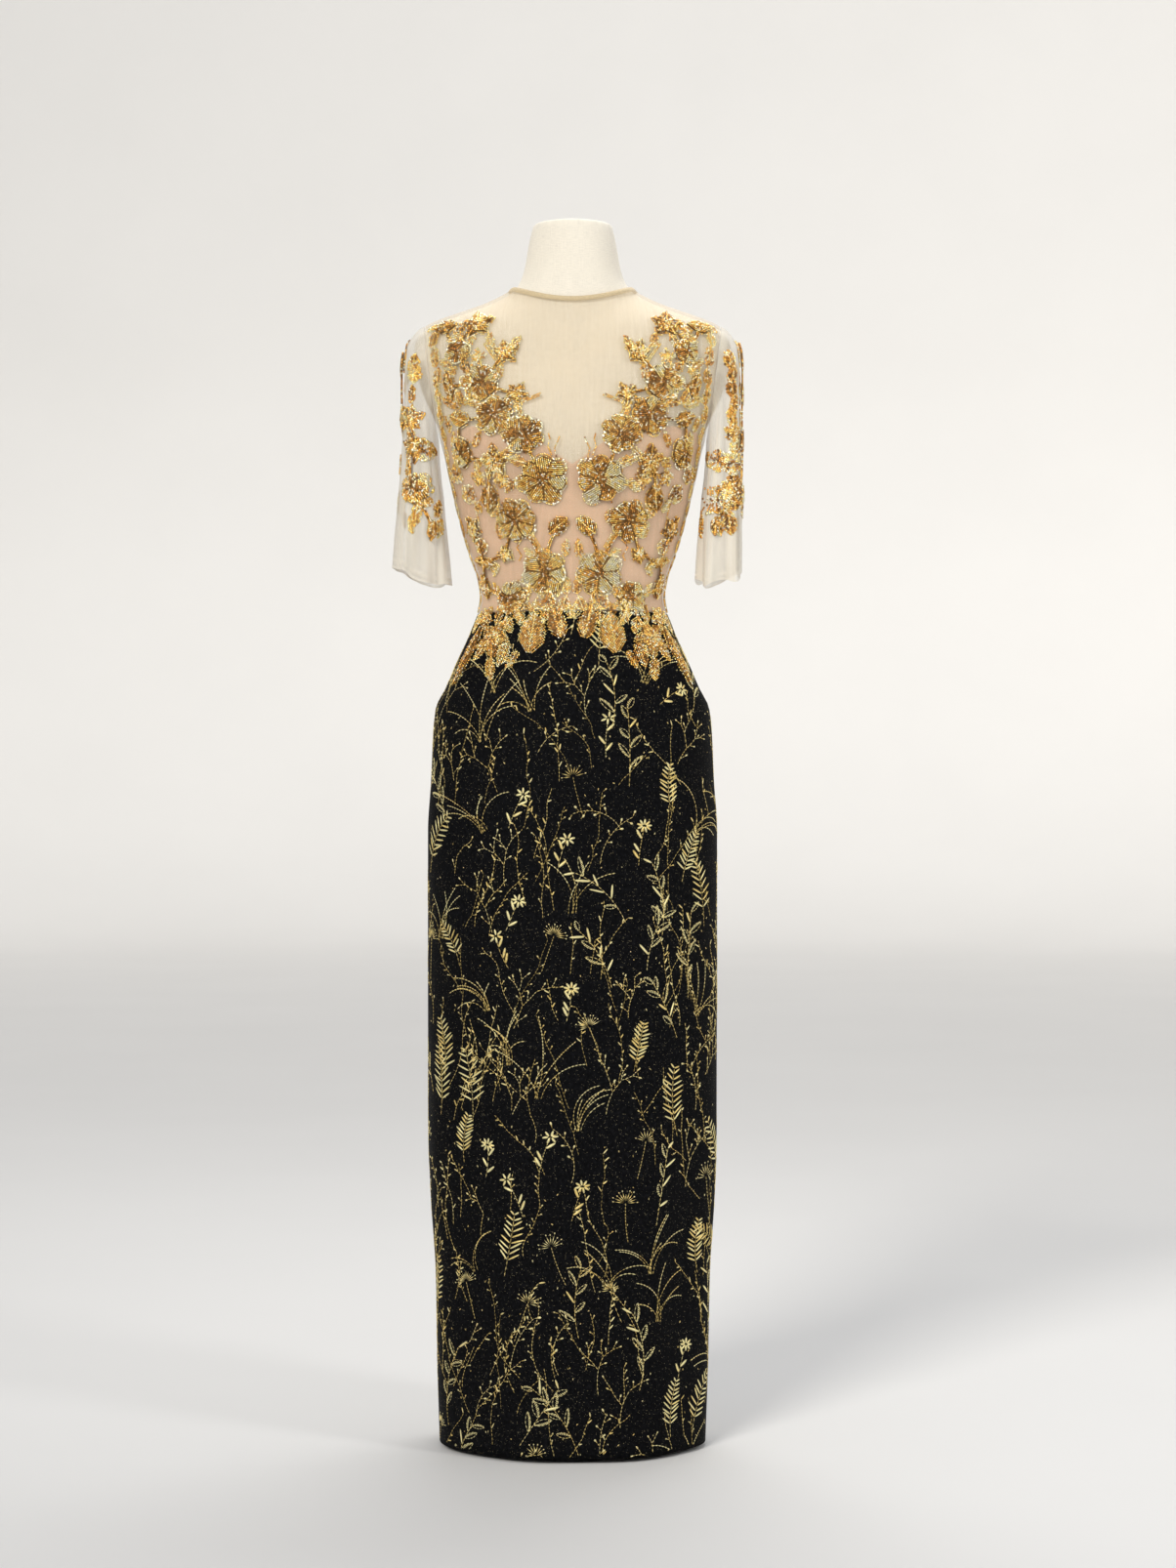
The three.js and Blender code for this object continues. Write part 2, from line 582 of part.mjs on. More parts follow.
add(
  "skirt_back_right",
  panel(overSkirt, SKIRT_WALL, SKIRT_BACK_LEVELS, (z) => [-skirtBackEdge(z), -skirtSide(z, 1)], 9),
  "skirt",
);

// The concealed zip: one narrow strip down centre back, closed.
function zip() {
  const levels = [ZIP_END + 1, ...SKIRT_LEVELS.filter((z) => z > ZIP_END), ...BODICE_LEVELS, ...armholeLevels, 1455, 1471, 1484];
  const grid = (skirtOut, formOut) =>
    levels.map((z) =>
      [-1, 1].map((side) => {
        const below = z <= WAIST_SEAM;
        const rows = below ? SKIRT_SECTIONS : FORM_SECTIONS;
        const turn = turnBy(rows, z, 2, side * ZIP.halfWidth);
        const p = below ? overSkirt(z, 2, skirtOut) : overForm(z, 2, formOut);
        p.x = (2 - turn) * quarter(rows, z, false).length;
        return p;
      }),
    );
  return wall(grid(0, ZIP.outer), grid(-1.6, ZIP.inner), false);
}
add("back_zip", zip(), "zip");

// The armhole's outline on the tulle's outer face, as a function of the angle round the sleeve.
function armholePoint(angle) {
  const level = (ARM.low + ARM.high) / 2 + ((ARM.high - ARM.low) / 2) * Math.cos(angle);
  const inFront = Math.sin(angle) >= 0;
  const p = overForm(level, armholeTurn(level, inFront, 0), TULLE.outer);
  p.x = armholeX(p.z) + 3 * SEAM;
  return p;
}

// A sleeve's outer face: row counts down the table, angle goes round from outside over the front.
function sleeveSurface(side) {
  const rows = SLEEVES[side];
  const last = rows.length - 1;
  const sign = side === "left" ? 1 : -1;
  const value = (key, row) => {
    const i = Math.min(last - 1, Math.floor(row));
    return rows[i][key] + (rows[i + 1][key] - rows[i][key]) * (row - i);
  };
  return (rowAsked, angleAsked) => {
    const row = Math.min(last, Math.max(0, rowAsked));
    const angle = sign * angleAsked;
    const centreX = (value("outX", row) + value("inX", row)) / 2;
    const centreZ = (value("outZ", row) + value("inZ", row)) / 2;
    const reachX = (value("outX", row) - value("inX", row)) / 2;
    const reachZ = (value("outZ", row) - value("inZ", row)) / 2;
    const depth = value(Math.sin(angle) > 0 ? "front" : "back", row);
    const rounded = (value) => Math.sign(value) * Math.abs(value) ** (2 / SLEEVE_SQUARE);
    const p = new THREE.Vector3(
      centreX + reachX * rounded(Math.cos(angle)),
      -depth * rounded(Math.sin(angle)),
      centreZ + reachZ * rounded(Math.cos(angle)),
    );
    // Gathers start below the armhole and deepen to the hem.
    const grown = Math.max(0, (row - 1.5) / (last - 1.5));
    let out = 0;
    let drop = 0;
    for (const fold of GATHERS[side]) {
      let apart = (angle * 180) / Math.PI - fold.angle - fold.lean * (grown - 0.5);
      apart -= 360 * Math.round(apart / 360);
      out += fold.depth * grown ** 1.8 * bell(apart, fold.width);
      drop += fold.drop * grown ** 3 * bell(apart, fold.width);
    }
    const away = new THREE.Vector2(Math.cos(angle) * Math.max(20, reachX), -Math.sin(angle) * depth).normalize();
    p.x += away.x * out;
    p.y += away.y * out;
    p.z -= drop;
    const joined = Math.max(0, 1 - row / 2);
    p.lerp(armholePoint(angle), joined * joined * (3 - 2 * joined));
    p.x *= sign;
    return p;
  };
}

const SLEEVE_ROWS = [0, 0.6, 1.2, 2, 3, 4.2, 5.4, 6.6, 7.8, 9];
const SLEEVE_AROUND = 22;
function sleeveGrid(side, out) {
  const surface = sleeveSurface(side);
  return SLEEVE_ROWS.map((row) =>
    Array.from({ length: SLEEVE_AROUND }, (_, j) => {
      const angle = (2 * Math.PI * j) / SLEEVE_AROUND;
      const p = surface(row, angle);
      return p.addScaledVector(normalOf(surface, row, angle, 0.15, 0.06), out);
    }),
  );
}
const sleeve = (side) => wall(sleeveGrid(side, SLEEVE_WALL.outer), sleeveGrid(side, SLEEVE_WALL.inner), true);
add("sleeve_left", sleeve("left"), "tulle");
add("sleeve_right", sleeve("right"), "tulle");

// Beaded sprays. A cloth face that carries them is a function of two parameters, with small steps for its slopes.
const gownFace = { point: (z, turn) => overGown(z, turn, 0), stepU: 1.5, stepV: 0.01 };
const sleeveFace = (side) => ({ point: sleeveSurface(side), stepU: 0.1, stepV: 0.05 });
const faceNormal = (face, u, v) => normalOf(face.point, u, v, face.stepU, face.stepV);

// A spot on a face: its place, its two parameters, and flat axes in which a motif is drawn, across and up.
function spotAt(face, u, v) {
  const normal = faceNormal(face, u, v);
  const across = new THREE.Vector3(0, 0, 1).cross(normal).normalize();
  const up = normal.clone().cross(across);
  return { face, u, v, origin: face.point(u, v), across, up };
}

// The place on a spot's face under a point of the spot's flat drawing, raised by a height along the face's normal.
function drape(spot, a, b, height) {
  const { face, across, up } = spot;
  let { u, v } = spot;
  for (let i = 0; i < 14; i++) {
    const p = face.point(u, v);
    const off = spot.origin.clone().addScaledVector(across, a).addScaledVector(up, b).sub(p);
    const needA = off.dot(across);
    const needB = off.dot(up);
    if (Math.hypot(needA, needB) < 0.05) break;
    const alongU = face.point(u + face.stepU, v).sub(p).divideScalar(face.stepU);
    const alongV = face.point(u, v + face.stepV).sub(p).divideScalar(face.stepV);
    const [ua, ub, va, vb] = [alongU.dot(across), alongU.dot(up), alongV.dot(across), alongV.dot(up)];
    const det = ua * vb - ub * va;
    const limit = (value, most) => Math.max(-most, Math.min(most, value));
    u += limit((needA * vb - needB * va) / det, 8 * face.stepU);
    v += limit((ua * needB - ub * needA) / det, 8 * face.stepV);
  }
  return face.point(u, v).addScaledVector(faceNormal(face, u, v), height);
}

// A plate on a face, from a flat drawing: points with their heights, and triangles that run anticlockwise.
// The underside takes the same triangles unless it has its own.
function plate(spot, points, triangles, outline, lift, underside = triangles) {
  const positions = [];
  const bottom = points.length;
  for (const p of points) positions.push(...drape(spot, p.a, p.b, SPRAY.gap + lift + p.height).toArray());
  for (const p of points) positions.push(...drape(spot, p.a, p.b, SPRAY.gap + lift).toArray());
  const index = [];
  for (const [i, j, k] of triangles) index.push(i, j, k);
  for (const [i, j, k] of underside) index.push(bottom + i, bottom + k, bottom + j);
  outline.forEach((i, n) => {
    const j = outline[(n + 1) % outline.length];
    index.push(bottom + i, bottom + j, j, bottom + i, j, i);
  });
  return geometryOf(positions, index);
}

// A flower of scalloped petals round a raised heart. A ringed one has points halfway out too, to follow the cloth.
function flower(spot, radius, petals, spin, lift, ringed) {
  const points = [{ a: 0, b: 0, height: SPRAY.heart }];
  const polar = (share, angle, height) =>
    points.push({ a: radius * share * Math.cos(angle), b: radius * share * Math.sin(angle), height });
  const step = (2 * Math.PI) / petals;
  const triangles = [];
  const outline = [];
  if (ringed) for (let k = 0; k < petals; k++) polar(0.5, spin + k * step, SPRAY.petal + 0.4);
  const first = points.length;
  for (let k = 0; k < petals; k++) {
    polar(0.87, spin + k * step, SPRAY.edge);
    polar(1 - 0.06 * (k % 2), spin + (k + 0.5) * step, SPRAY.petal);
    const [notch, tip, next] = [0, 1, 2].map((n) => first + ((2 * k + n) % (2 * petals)));
    outline.push(notch, tip);
    if (ringed) {
      const inner = 1 + k;
      const other = 1 + ((k + 1) % petals);
      triangles.push([0, inner, other], [inner, notch, tip], [inner, tip, other], [other, tip, next]);
    } else {
      triangles.push([0, notch, tip], [0, tip, next]);
    }
  }
  return plate(spot, points, triangles, outline, lift);
}

// A leaf with a raised midrib, from its stalk at (0, 0) to its tip, turned by angle in degrees from across to up.
function leaf(spot, length, width, angle, lift) {
  const turn = (angle * Math.PI) / 180;
  const points = [];
  const put = (along, aside, height) => {
    const a = along * length * Math.cos(turn) - aside * width * Math.sin(turn);
    const b = along * length * Math.sin(turn) + aside * width * Math.cos(turn);
    points.push({ a, b, height });
  };
  put(-0.5, 0, SPRAY.edge);
  put(-0.2, -0.46, SPRAY.edge);
  put(0.17, -0.4, SPRAY.edge);
  put(0.5, 0, SPRAY.edge);
  put(0.17, 0.42, SPRAY.edge);
  put(-0.2, 0.48, SPRAY.edge);
  put(-0.2, 0.02, SPRAY.leaf);
  put(0.17, 0.01, SPRAY.leaf);
  const ribbed = [
    [0, 1, 6], [1, 2, 7], [1, 7, 6], [2, 3, 7], [3, 4, 7], [4, 5, 6], [4, 6, 7], [5, 0, 6],
  ];
  const flat = [
    [0, 1, 5], [1, 2, 4], [1, 4, 5], [2, 3, 4],
  ];
  return plate(spot, points, ribbed, [0, 1, 2, 3, 4, 5], lift, flat);
}

// A pointed leaf of several lobes, like an ivy leaf.
function lobedLeaf(spot, radius, lobes, angle, lift) {
  const points = [{ a: 0, b: 0, height: SPRAY.leaf }];
  const triangles = [];
  const outline = [];
  const step = (2 * Math.PI) / lobes;
  const turn = (angle * Math.PI) / 180;
  for (let k = 0; k < lobes; k++) {
    const reach = radius * (k === 0 ? 1.1 : 1 - 0.1 * (k % 2));
    const tip = turn + k * step;
    points.push({ a: reach * Math.cos(tip), b: reach * Math.sin(tip), height: SPRAY.edge });
    const notch = tip + step / 2;
    points.push({ a: radius * 0.52 * Math.cos(notch), b: radius * 0.52 * Math.sin(notch), height: SPRAY.edge });
    outline.push(1 + 2 * k, 2 + 2 * k);
    triangles.push([0, 1 + 2 * k, 2 + 2 * k], [0, 2 + 2 * k, 1 + ((2 * k + 2) % (2 * lobes))]);
  }
  return plate(spot, points, triangles, outline, lift);
}

// A stem with a ridge along it, between two spots of one face. Its ends lie inside the motifs there, within their thickness.
function stem(from, to, bow, width, raised) {
  const { face } = from.spot;
  const length = from.spot.origin.distanceTo(to.spot.origin);
  const start = from.reach / length;
  const end = 1 - to.reach / length;
  const pitch = raised > 0 ? 15 : 22;
  const count = Math.max(1, Math.round(((end - start) * length) / pitch));
  const rows = Array.from({ length: count + 1 }, (_, i) => {
    const t = start + ((end - start) * i) / count;
    const at = (share) => [from.spot.u, from.spot.v].map((value, k) => value + ([to.spot.u, to.spot.v][k] - value) * share);
    const spot = spotAt(face, ...at(t));
    const run = face.point(...at(t + 0.02)).sub(face.point(...at(t - 0.02)));
    const slope = (-8 * bow * (t - 0.5) * 0.04) / run.length();
    const flat = new THREE.Vector2(run.dot(spot.across), run.dot(spot.up)).normalize();
    const side = new THREE.Vector2(-flat.y, flat.x);
    const aside = side.clone().addScaledVector(flat, -slope).normalize();
    const bend = bow * 4 * t * (1 - t);
    const put = (reach, height) =>
      drape(spot, side.x * bend + aside.x * reach, side.y * bend + aside.y * reach, SPRAY.gap + raised + height);
    return [put(width / 2, SPRAY.stemLow), put(-width / 2, SPRAY.stemLow), put(0, SPRAY.stemHigh)];
  });
  const positions = rows.flat().flatMap((p) => p.toArray());
  const index = [0, 1, 2];
  for (let i = 0; i < count; i++) {
    const a = 3 * i;
    const b = a + 3;
    for (const [p, q] of [[0, 1], [1, 2], [2, 0]]) index.push(a + q, a + p, b + p, a + q, b + p, b + q);
  }
  const last = 3 * count;
  index.push(last, last + 2, last + 1);
  return geometryOf(positions, index);
}

function solid(geometry) {
  const merged = mergeVertices(geometry, 1e-4);
  return new wasm.Manifold(
    new wasm.Mesh({
      numProp: 3,
      vertProperties: merged.attributes.position.array,
      triVerts: new Uint32Array(merged.index.array),
    }),
  );
}

// Where a front or back spot lies on the gown, from the height and the distance beside the centre line.
function gownSpot(x, z, inFront) {
  let level = z;
  let share = 0.5;
  for (let round = 0; round < 5; round++) {
    let low = 0;
    let high = 1;
    for (let i = 0; i < 30; i++) {
      share = (low + high) / 2;
      if (gownFace.point(level, inFront ? share : 2 - share).x < Math.abs(x)) low = share;
      else high = share;
    }
    level += z - gownFace.point(level, inFront ? share : 2 - share).z;
  }
  const turn = inFront ? share : 2 - share;
  return spotAt(gownFace, level, x < 0 ? -turn : turn);
}

// Joins one spray's motifs and stems into a single body. A stem is [from, to, bow].
function spray(place, mirror, motifs, stems, raised = 0) {
  const placed = {};
  const parts = motifs.map((m, i) => {
    const spot = place(m);
    // A stem ends this far from a motif's middle.
    placed[m.name] = { spot, reach: m.kind === "leaf" ? 2 : m.size * 0.42 };
    const lift = raised + 0.05 * (i % 4);
    const angle = mirror ? 180 - m.angle : m.angle;
    if (m.kind === "flower") return flower(spot, m.size, m.petals, (angle * Math.PI) / 180, lift, m.size > 26 || raised > 0);
    if (m.kind === "leaf") return leaf(spot, m.size, m.width, angle, lift);
    return lobedLeaf(spot, m.size, m.petals, angle, lift);
  });
  for (const [from, to, bow] of stems) parts.push(stem(placed[from], placed[to], mirror ? -bow : bow, 4, raised));
  const joined = parts.map(solid).reduce((a, b) => a.add(b));
  const made = joined.getMesh();
  return geometryOf(Array.from(made.vertProperties), Array.from(made.triVerts));
}

// Motif tables of one half of the front. x is the distance from the centre line and z the height.
const SHOULDER = [
  { name: "a", kind: "lobed", x: 120, z: 1436, size: 21, petals: 5, angle: 80 },
  { name: "b", kind: "leaf", x: 161, z: 1434, size: 34, width: 20, angle: 170 },
  { name: "d", kind: "flower", x: 145, z: 1399, size: 17, petals: 6, angle: 10 },
  { name: "e", kind: "lobed", x: 84, z: 1397, size: 17, petals: 5, angle: 150 },
  { name: "g", kind: "flower", x: 115, z: 1358, size: 25, petals: 7, angle: 30 },
  { name: "h", kind: "leaf", x: 156, z: 1358, size: 38, width: 16, angle: 75 },
  { name: "i", kind: "lobed", x: 70, z: 1342, size: 15, petals: 5, angle: 120 },
];
const SHOULDER_STEMS = [
  ["a", "d", 3],
  ["b", "d", -2],
  ["e", "g", -2],
  ["d", "g", 4],
  ["h", "g", 4],
  ["i", "g", -2],
];
const BREAST = [
  { name: "a", kind: "flower", x: 97, z: 1315, size: 26, petals: 7, angle: 0 },
  { name: "b", kind: "flower", x: 61, z: 1290, size: 25, petals: 7, angle: 20 },
  { name: "c", kind: "leaf", x: 143, z: 1314, size: 34, width: 19, angle: 20 },
  { name: "d", kind: "flower", x: 140, z: 1271, size: 20, petals: 6, angle: 50 },
  { name: "e", kind: "lobed", x: 98, z: 1256, size: 21, petals: 5, angle: 90 },
  { name: "f", kind: "flower", x: 36, z: 1234, size: 31, petals: 7, angle: 12 },
  { name: "h", kind: "leaf", x: 104, z: 1214, size: 40, width: 24, angle: 105 },
];
const BREAST_STEMS = [
  ["a", "c", -3],
  ["c", "d", 4],
  ["e", "d", -2],
  ["b", "f", 2],
  ["e", "h", 3],
];
const WAIST = [
  { name: "a", kind: "flower", x: 71, z: 1184, size: 27, petals: 7, angle: 40 },
  { name: "b", kind: "leaf", x: 17, z: 1177, size: 32, width: 20, angle: 140 },
  { name: "c", kind: "lobed", x: 126, z: 1176, size: 17, petals: 5, angle: 60 },
  { name: "d", kind: "lobed", x: 84, z: 1142, size: 12, petals: 5, angle: 0 },
  { name: "f", kind: "leaf", x: 112, z: 1134, size: 42, width: 14, angle: 12 },
  { name: "g", kind: "flower", x: 34, z: 1118, size: 29, petals: 7, angle: 8 },
  { name: "h", kind: "leaf", x: 110, z: 1104, size: 34, width: 19, angle: 75 },
  { name: "i", kind: "flower", x: 75, z: 1088, size: 21, petals: 6, angle: 25 },
  { name: "l", kind: "leaf", x: 50, z: 1042, size: 54, width: 32, angle: 97 },
  { name: "m", kind: "leaf", x: 20, z: 1056, size: 44, width: 21, angle: 72 },
  { name: "n", kind: "lobed", x: 100, z: 1036, size: 24, petals: 5, angle: -100 },
  { name: "p", kind: "leaf", x: 134, z: 1014, size: 84, width: 17, angle: -75 },
];
const WAIST_STEMS = [
  ["b", "g", 4],
  ["a", "d", 2],
  ["c", "f", -2],
  ["d", "f", -1],
  ["f", "h", 2],
  ["a", "g", -5],
  ["g", "m", 0],
  ["h", "i", 3],
  ["i", "l", 2],
  ["i", "n", -4],
  ["n", "p", 3],
];

// The back repeats the same plants more sparsely, clear of the closure.
const YOKE_BACK = [
  { name: "a", kind: "flower", x: 104, z: 1412, size: 22, petals: 7, angle: 15 },
  { name: "b", kind: "leaf", x: 146, z: 1426, size: 34, width: 19, angle: 20 },
  { name: "c", kind: "lobed", x: 62, z: 1430, size: 17, petals: 5, angle: 120 },
  { name: "d", kind: "flower", x: 142, z: 1368, size: 20, petals: 6, angle: 40 },
  { name: "e", kind: "leaf", x: 104, z: 1358, size: 38, width: 19, angle: 110 },
];
const YOKE_BACK_STEMS = [
  ["a", "b", 3],
  ["a", "c", -3],
  ["a", "d", 4],
  ["d", "e", -3],
];
const WAIST_BACK = [
  { name: "a", kind: "flower", x: 90, z: 1190, size: 23, petals: 7, angle: 0 },
  { name: "b", kind: "leaf", x: 122, z: 1222, size: 36, width: 19, angle: 50 },
  { name: "c", kind: "lobed", x: 46, z: 1216, size: 17, petals: 5, angle: 130 },
  { name: "e", kind: "flower", x: 54, z: 1126, size: 24, petals: 7, angle: 30 },
  { name: "f", kind: "leaf", x: 94, z: 1106, size: 36, width: 17, angle: -20 },
  { name: "g", kind: "leaf", x: 44, z: 1064, size: 50, width: 21, angle: -80 },
];
const WAIST_BACK_STEMS = [
  ["a", "b", 3],
  ["a", "c", -3],
  ["a", "e", 4],
  ["e", "f", -2],
  ["e", "g", 2],
];

// On a sleeve, row counts down the sleeve's table and angleAt is in degrees from outside over the front.
const SLEEVE_SPRAYS = {
  left: [
    { name: "a", kind: "leaf", row: 2.5, angleAt: 8, size: 34, width: 17, angle: -82 },
    { name: "b", kind: "leaf", row: 3.9, angleAt: 16, size: 32, width: 16, angle: -60 },
    { name: "c", kind: "lobed", row: 5.2, angleAt: 26, size: 15, petals: 5, angle: 70 },
    { name: "d", kind: "flower", row: 6.4, angleAt: 54, size: 18, petals: 6, angle: 0 },
    { name: "e", kind: "leaf", row: 6.9, angleAt: 104, size: 24, width: 11, angle: -95 },
  ],
  right: [
    { name: "a", kind: "leaf", row: 3, angleAt: 14, size: 32, width: 16, angle: -80 },
    { name: "b", kind: "lobed", row: 4.5, angleAt: 34, size: 15, petals: 5, angle: 70 },
    { name: "c", kind: "lobed", row: 4.9, angleAt: 70, size: 15, petals: 5, angle: 10 },
    { name: "d", kind: "flower", row: 6.2, angleAt: 76, size: 18, petals: 6, angle: 0 },
    { name: "e", kind: "leaf", row: 7, angleAt: 106, size: 28, width: 14, angle: -80 },
  ],
};
const SLEEVE_STEMS = [
  ["a", "b", 3],
  ["b", "c", -3],
  ["c", "d", 3],
  ["d", "e", -3],
];
const SLEEVE_LIFT = 1.5;
for (const [side, sign] of [
  ["left", 1],
  ["right", -1],
]) {
  const onFront = (m) => gownSpot(sign * m.x, m.z, true);
  const onBack = (m) => gownSpot(sign * m.x, m.z, false);
  add(`spray_shoulder_${side}`, spray(onFront, sign < 0, SHOULDER, SHOULDER_STEMS), "gold");
  add(`spray_breast_${side}`, spray(onFront, sign < 0, BREAST, BREAST_STEMS), "gold");
  add(`spray_waist_${side}`, spray(onFront, sign < 0, WAIST, WAIST_STEMS), "gold");
  add(`spray_back_yoke_${side}`, spray(onBack, sign > 0, YOKE_BACK, YOKE_BACK_STEMS), "gold");
  add(`spray_back_waist_${side}`, spray(onBack, sign > 0, WAIST_BACK, WAIST_BACK_STEMS), "gold");
  const onSleeve = (m) => spotAt(sleeveFace(side), m.row, (sign * m.angleAt * Math.PI) / 180);
  add(`spray_sleeve_${side}`, spray(onSleeve, sign < 0, SLEEVE_SPRAYS[side], SLEEVE_STEMS, SLEEVE_LIFT), "gold");
}

export default model;
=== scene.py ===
import bisect
import functools
import itertools
import json
import math
import random

import bmesh
import bpy
import numpy as np
from mathutils import Matrix, Vector, noise
from mathutils.bvhtree import BVHTree

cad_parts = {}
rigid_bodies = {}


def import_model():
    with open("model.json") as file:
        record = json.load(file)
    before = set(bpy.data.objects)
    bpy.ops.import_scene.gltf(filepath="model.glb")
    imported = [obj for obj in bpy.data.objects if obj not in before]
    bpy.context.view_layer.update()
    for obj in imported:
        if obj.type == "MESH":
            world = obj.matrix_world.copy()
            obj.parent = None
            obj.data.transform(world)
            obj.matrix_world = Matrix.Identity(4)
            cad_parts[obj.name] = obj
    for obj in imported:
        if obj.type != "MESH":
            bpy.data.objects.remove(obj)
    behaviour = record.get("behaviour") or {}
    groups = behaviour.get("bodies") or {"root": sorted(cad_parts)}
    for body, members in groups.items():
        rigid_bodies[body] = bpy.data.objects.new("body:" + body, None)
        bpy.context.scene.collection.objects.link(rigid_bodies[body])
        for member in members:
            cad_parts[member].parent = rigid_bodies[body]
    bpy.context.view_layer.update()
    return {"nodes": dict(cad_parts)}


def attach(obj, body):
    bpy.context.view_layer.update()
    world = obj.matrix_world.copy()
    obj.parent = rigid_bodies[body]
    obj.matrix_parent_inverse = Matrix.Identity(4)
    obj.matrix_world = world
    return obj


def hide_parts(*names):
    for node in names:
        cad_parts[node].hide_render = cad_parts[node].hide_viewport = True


bl_info = {
    "name": "Beaded gown",
    "version": (1, 0, 0),
    "blender": (4, 5, 0),
    "location": "View3D > Sidebar > Gown",
    "description": "Cloth, beadwork, woven plants and stage for a beaded gown on a dress form",
    "category": "Object",
}

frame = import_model()
MM = 0.001
BODY = "root"

# Heights above the floor and layers out from the figure, in millimetres, as the solids have them.
HEM = 6
TORSO_BOTTOM = 760
ZIP_END = 925
WAIST_SEAM = 1070
BUST = 1278
NECKLINE = 1490
NECK_TOP = 1576
LINEN = -0.5
LINING_OUT = 2
TULLE_OUT = 4
SEAM = 0.3
ZIP_HALF = 3.4

# Spacing of the bead rows and of the beads in a row, in millimetres.
ROW = 2.45
BEAD = 2.6

# Length, thickness and height over the cloth of each kind of bead, in millimetres.
BEAD_SIZES = {"bead": (2.75, 1.95, 0.6), "seed": (2.2, 2.1, 1.0), "sequin": (3.9, 3.9, 1.3)}
# Shares of the beads given near-white tones as painted glints, and of the beads that stay dark.
PAINTED_GLINT_SHARE = 0.19
DARKENED = 0.16
# A leaf narrower than this is two rows of beads without a midrib.
NARROW_LEAF = 7.5

# Beads on the sleeves are this much larger and darker, and each piece of beads has its own seed from here on.
SLEEVE_SWELL = 1.26
SLEEVE_SHADE = -0.08
FIRST_BEAD_SEED = 7

# Steps on a face between which its normal is taken, along its two directions.
FORM_STEPS = (1.5, 0.01)
SKIRT_STEPS = (2, 0.01)
SLEEVE_STEPS = (0.1, 0.05)
QUARTER_STEPS = 32

# Thicknesses of the cloths and the gap that a tube's seam closes over, in metres.
SATIN_THICK = 0.0005
BINDING_THICK = 0.0006
BROCADE_THICK = 0.0016
SEAM_WELD = 0.00002

# Level sections of the figure and the skirt: height, half width, front, back, squareness, dip of the front.
SECTIONS = {
    "form": [
        (760, 158, 104, 114, 2.1, 0),
        (855, 165, 107, 118, 2.1, 0),
        (910, 165, 106, 114, 2.1, 0),
        (951, 160, 102, 107, 2.1, 0),
        (992, 149, 97, 97, 2.1, 0),
        (1030, 133, 90, 86, 2.1, 0),
        (1070, 119, 84, 78, 2.1, 0),
        (1092, 115, 82, 76, 2.12, 0),
        (1115, 118, 83, 77, 2.2, 0),
        (1158, 133, 88, 81, 2.25, 0),
        (1207, 146.5, 95, 87, 2.3, 0),
        (1245, 156, 101, 92, 2.35, 0),
        (1278, 163, 105, 96, 2.35, 0),
        (1300, 169.5, 105, 98, 2.3, 0),
        (1325, 180, 102, 99, 2.25, 0),
        (1360, 196, 96, 99, 2.2, 1),
        (1400, 206, 88, 96, 2.2, 3),
        (1422, 204, 83, 93, 2.2, 6),
        (1431, 198, 80, 90, 2.2, 8),
        (1440, 187, 77, 86, 2.2, 10),
        (1449, 167, 73, 81, 2.2, 12),
        (1458, 141, 69, 75, 2.15, 14),
        (1467, 116, 65, 69, 2.1, 16),
        (1476, 96, 61, 64, 2.05, 18),
        (1484, 82, 59, 60, 2, 19),
        (1492, 73.5, 57.5, 57.5, 2, 19),
        (1502, 67.5, 56, 56, 2, 17),
        (1520, 62, 54, 54, 2, 11),
        (1540, 58.5, 53, 53, 2, 5),
        (1556, 55.5, 52, 52, 2, 1),
        (1566, 53, 51, 51, 2, 0),
    ],
    "skirt": [
        (6, 171, 124, 131, 2.15, 0),
        (110, 174, 125, 130, 2.1, 0),
        (223, 176, 125, 130, 2.1, 0),
        (306, 182, 126, 131, 2.05, 0),
        (400, 186, 126, 132, 2.05, 0),
        (640, 187, 122, 132, 2.05, 0),
        (790, 187, 120, 133, 2.1, 0),
        (855, 183, 118, 132, 2.1, 0),
        (910, 180.5, 115, 127, 2.1, 0),
        (948, 177, 112, 118, 2.1, 0),
        (975, 164, 107, 109, 2.1, 0),
        (1010, 149, 100, 97, 2.1, 0),
        (1040, 135, 93, 88, 2.1, 0),
        (1070, 123, 88, 82, 2.1, 0),
    ],
}
CUP_DEPTH, CUP_APART, CUP_ACROSS, CUP_UP = 15, 75, 44, 40

# Lengthwise folds of the skirt: turn, drift, depth, half width, bottom, top.
SKIRT_FOLDS = [
    (-0.78, 0.06, 4, 0.09, -200, 700),
    (-0.5, -0.05, -3.5, 0.1, -200, 560),
    (-0.22, 0.04, 3, 0.12, -200, 640),
    (0.12, 0.1, -4.5, 0.08, -100, 820),
    (0.36, 0.05, 3.5, 0.1, -200, 600),
    (0.62, -0.04, -4, 0.09, -200, 760),
    (0.86, 0.02, 3.5, 0.08, -200, 520),
    (1.18, 0.05, -4, 0.1, -200, 740),
    (1.46, -0.03, 5, 0.11, -200, 620),
    (1.74, 0.03, -4.5, 0.1, -200, 800),
    (-1.2, -0.04, 4, 0.1, -200, 680),
    (-1.5, 0.04, -5, 0.11, -200, 780),
    (-1.77, -0.03, 4.5, 0.1, -200, 560),
]

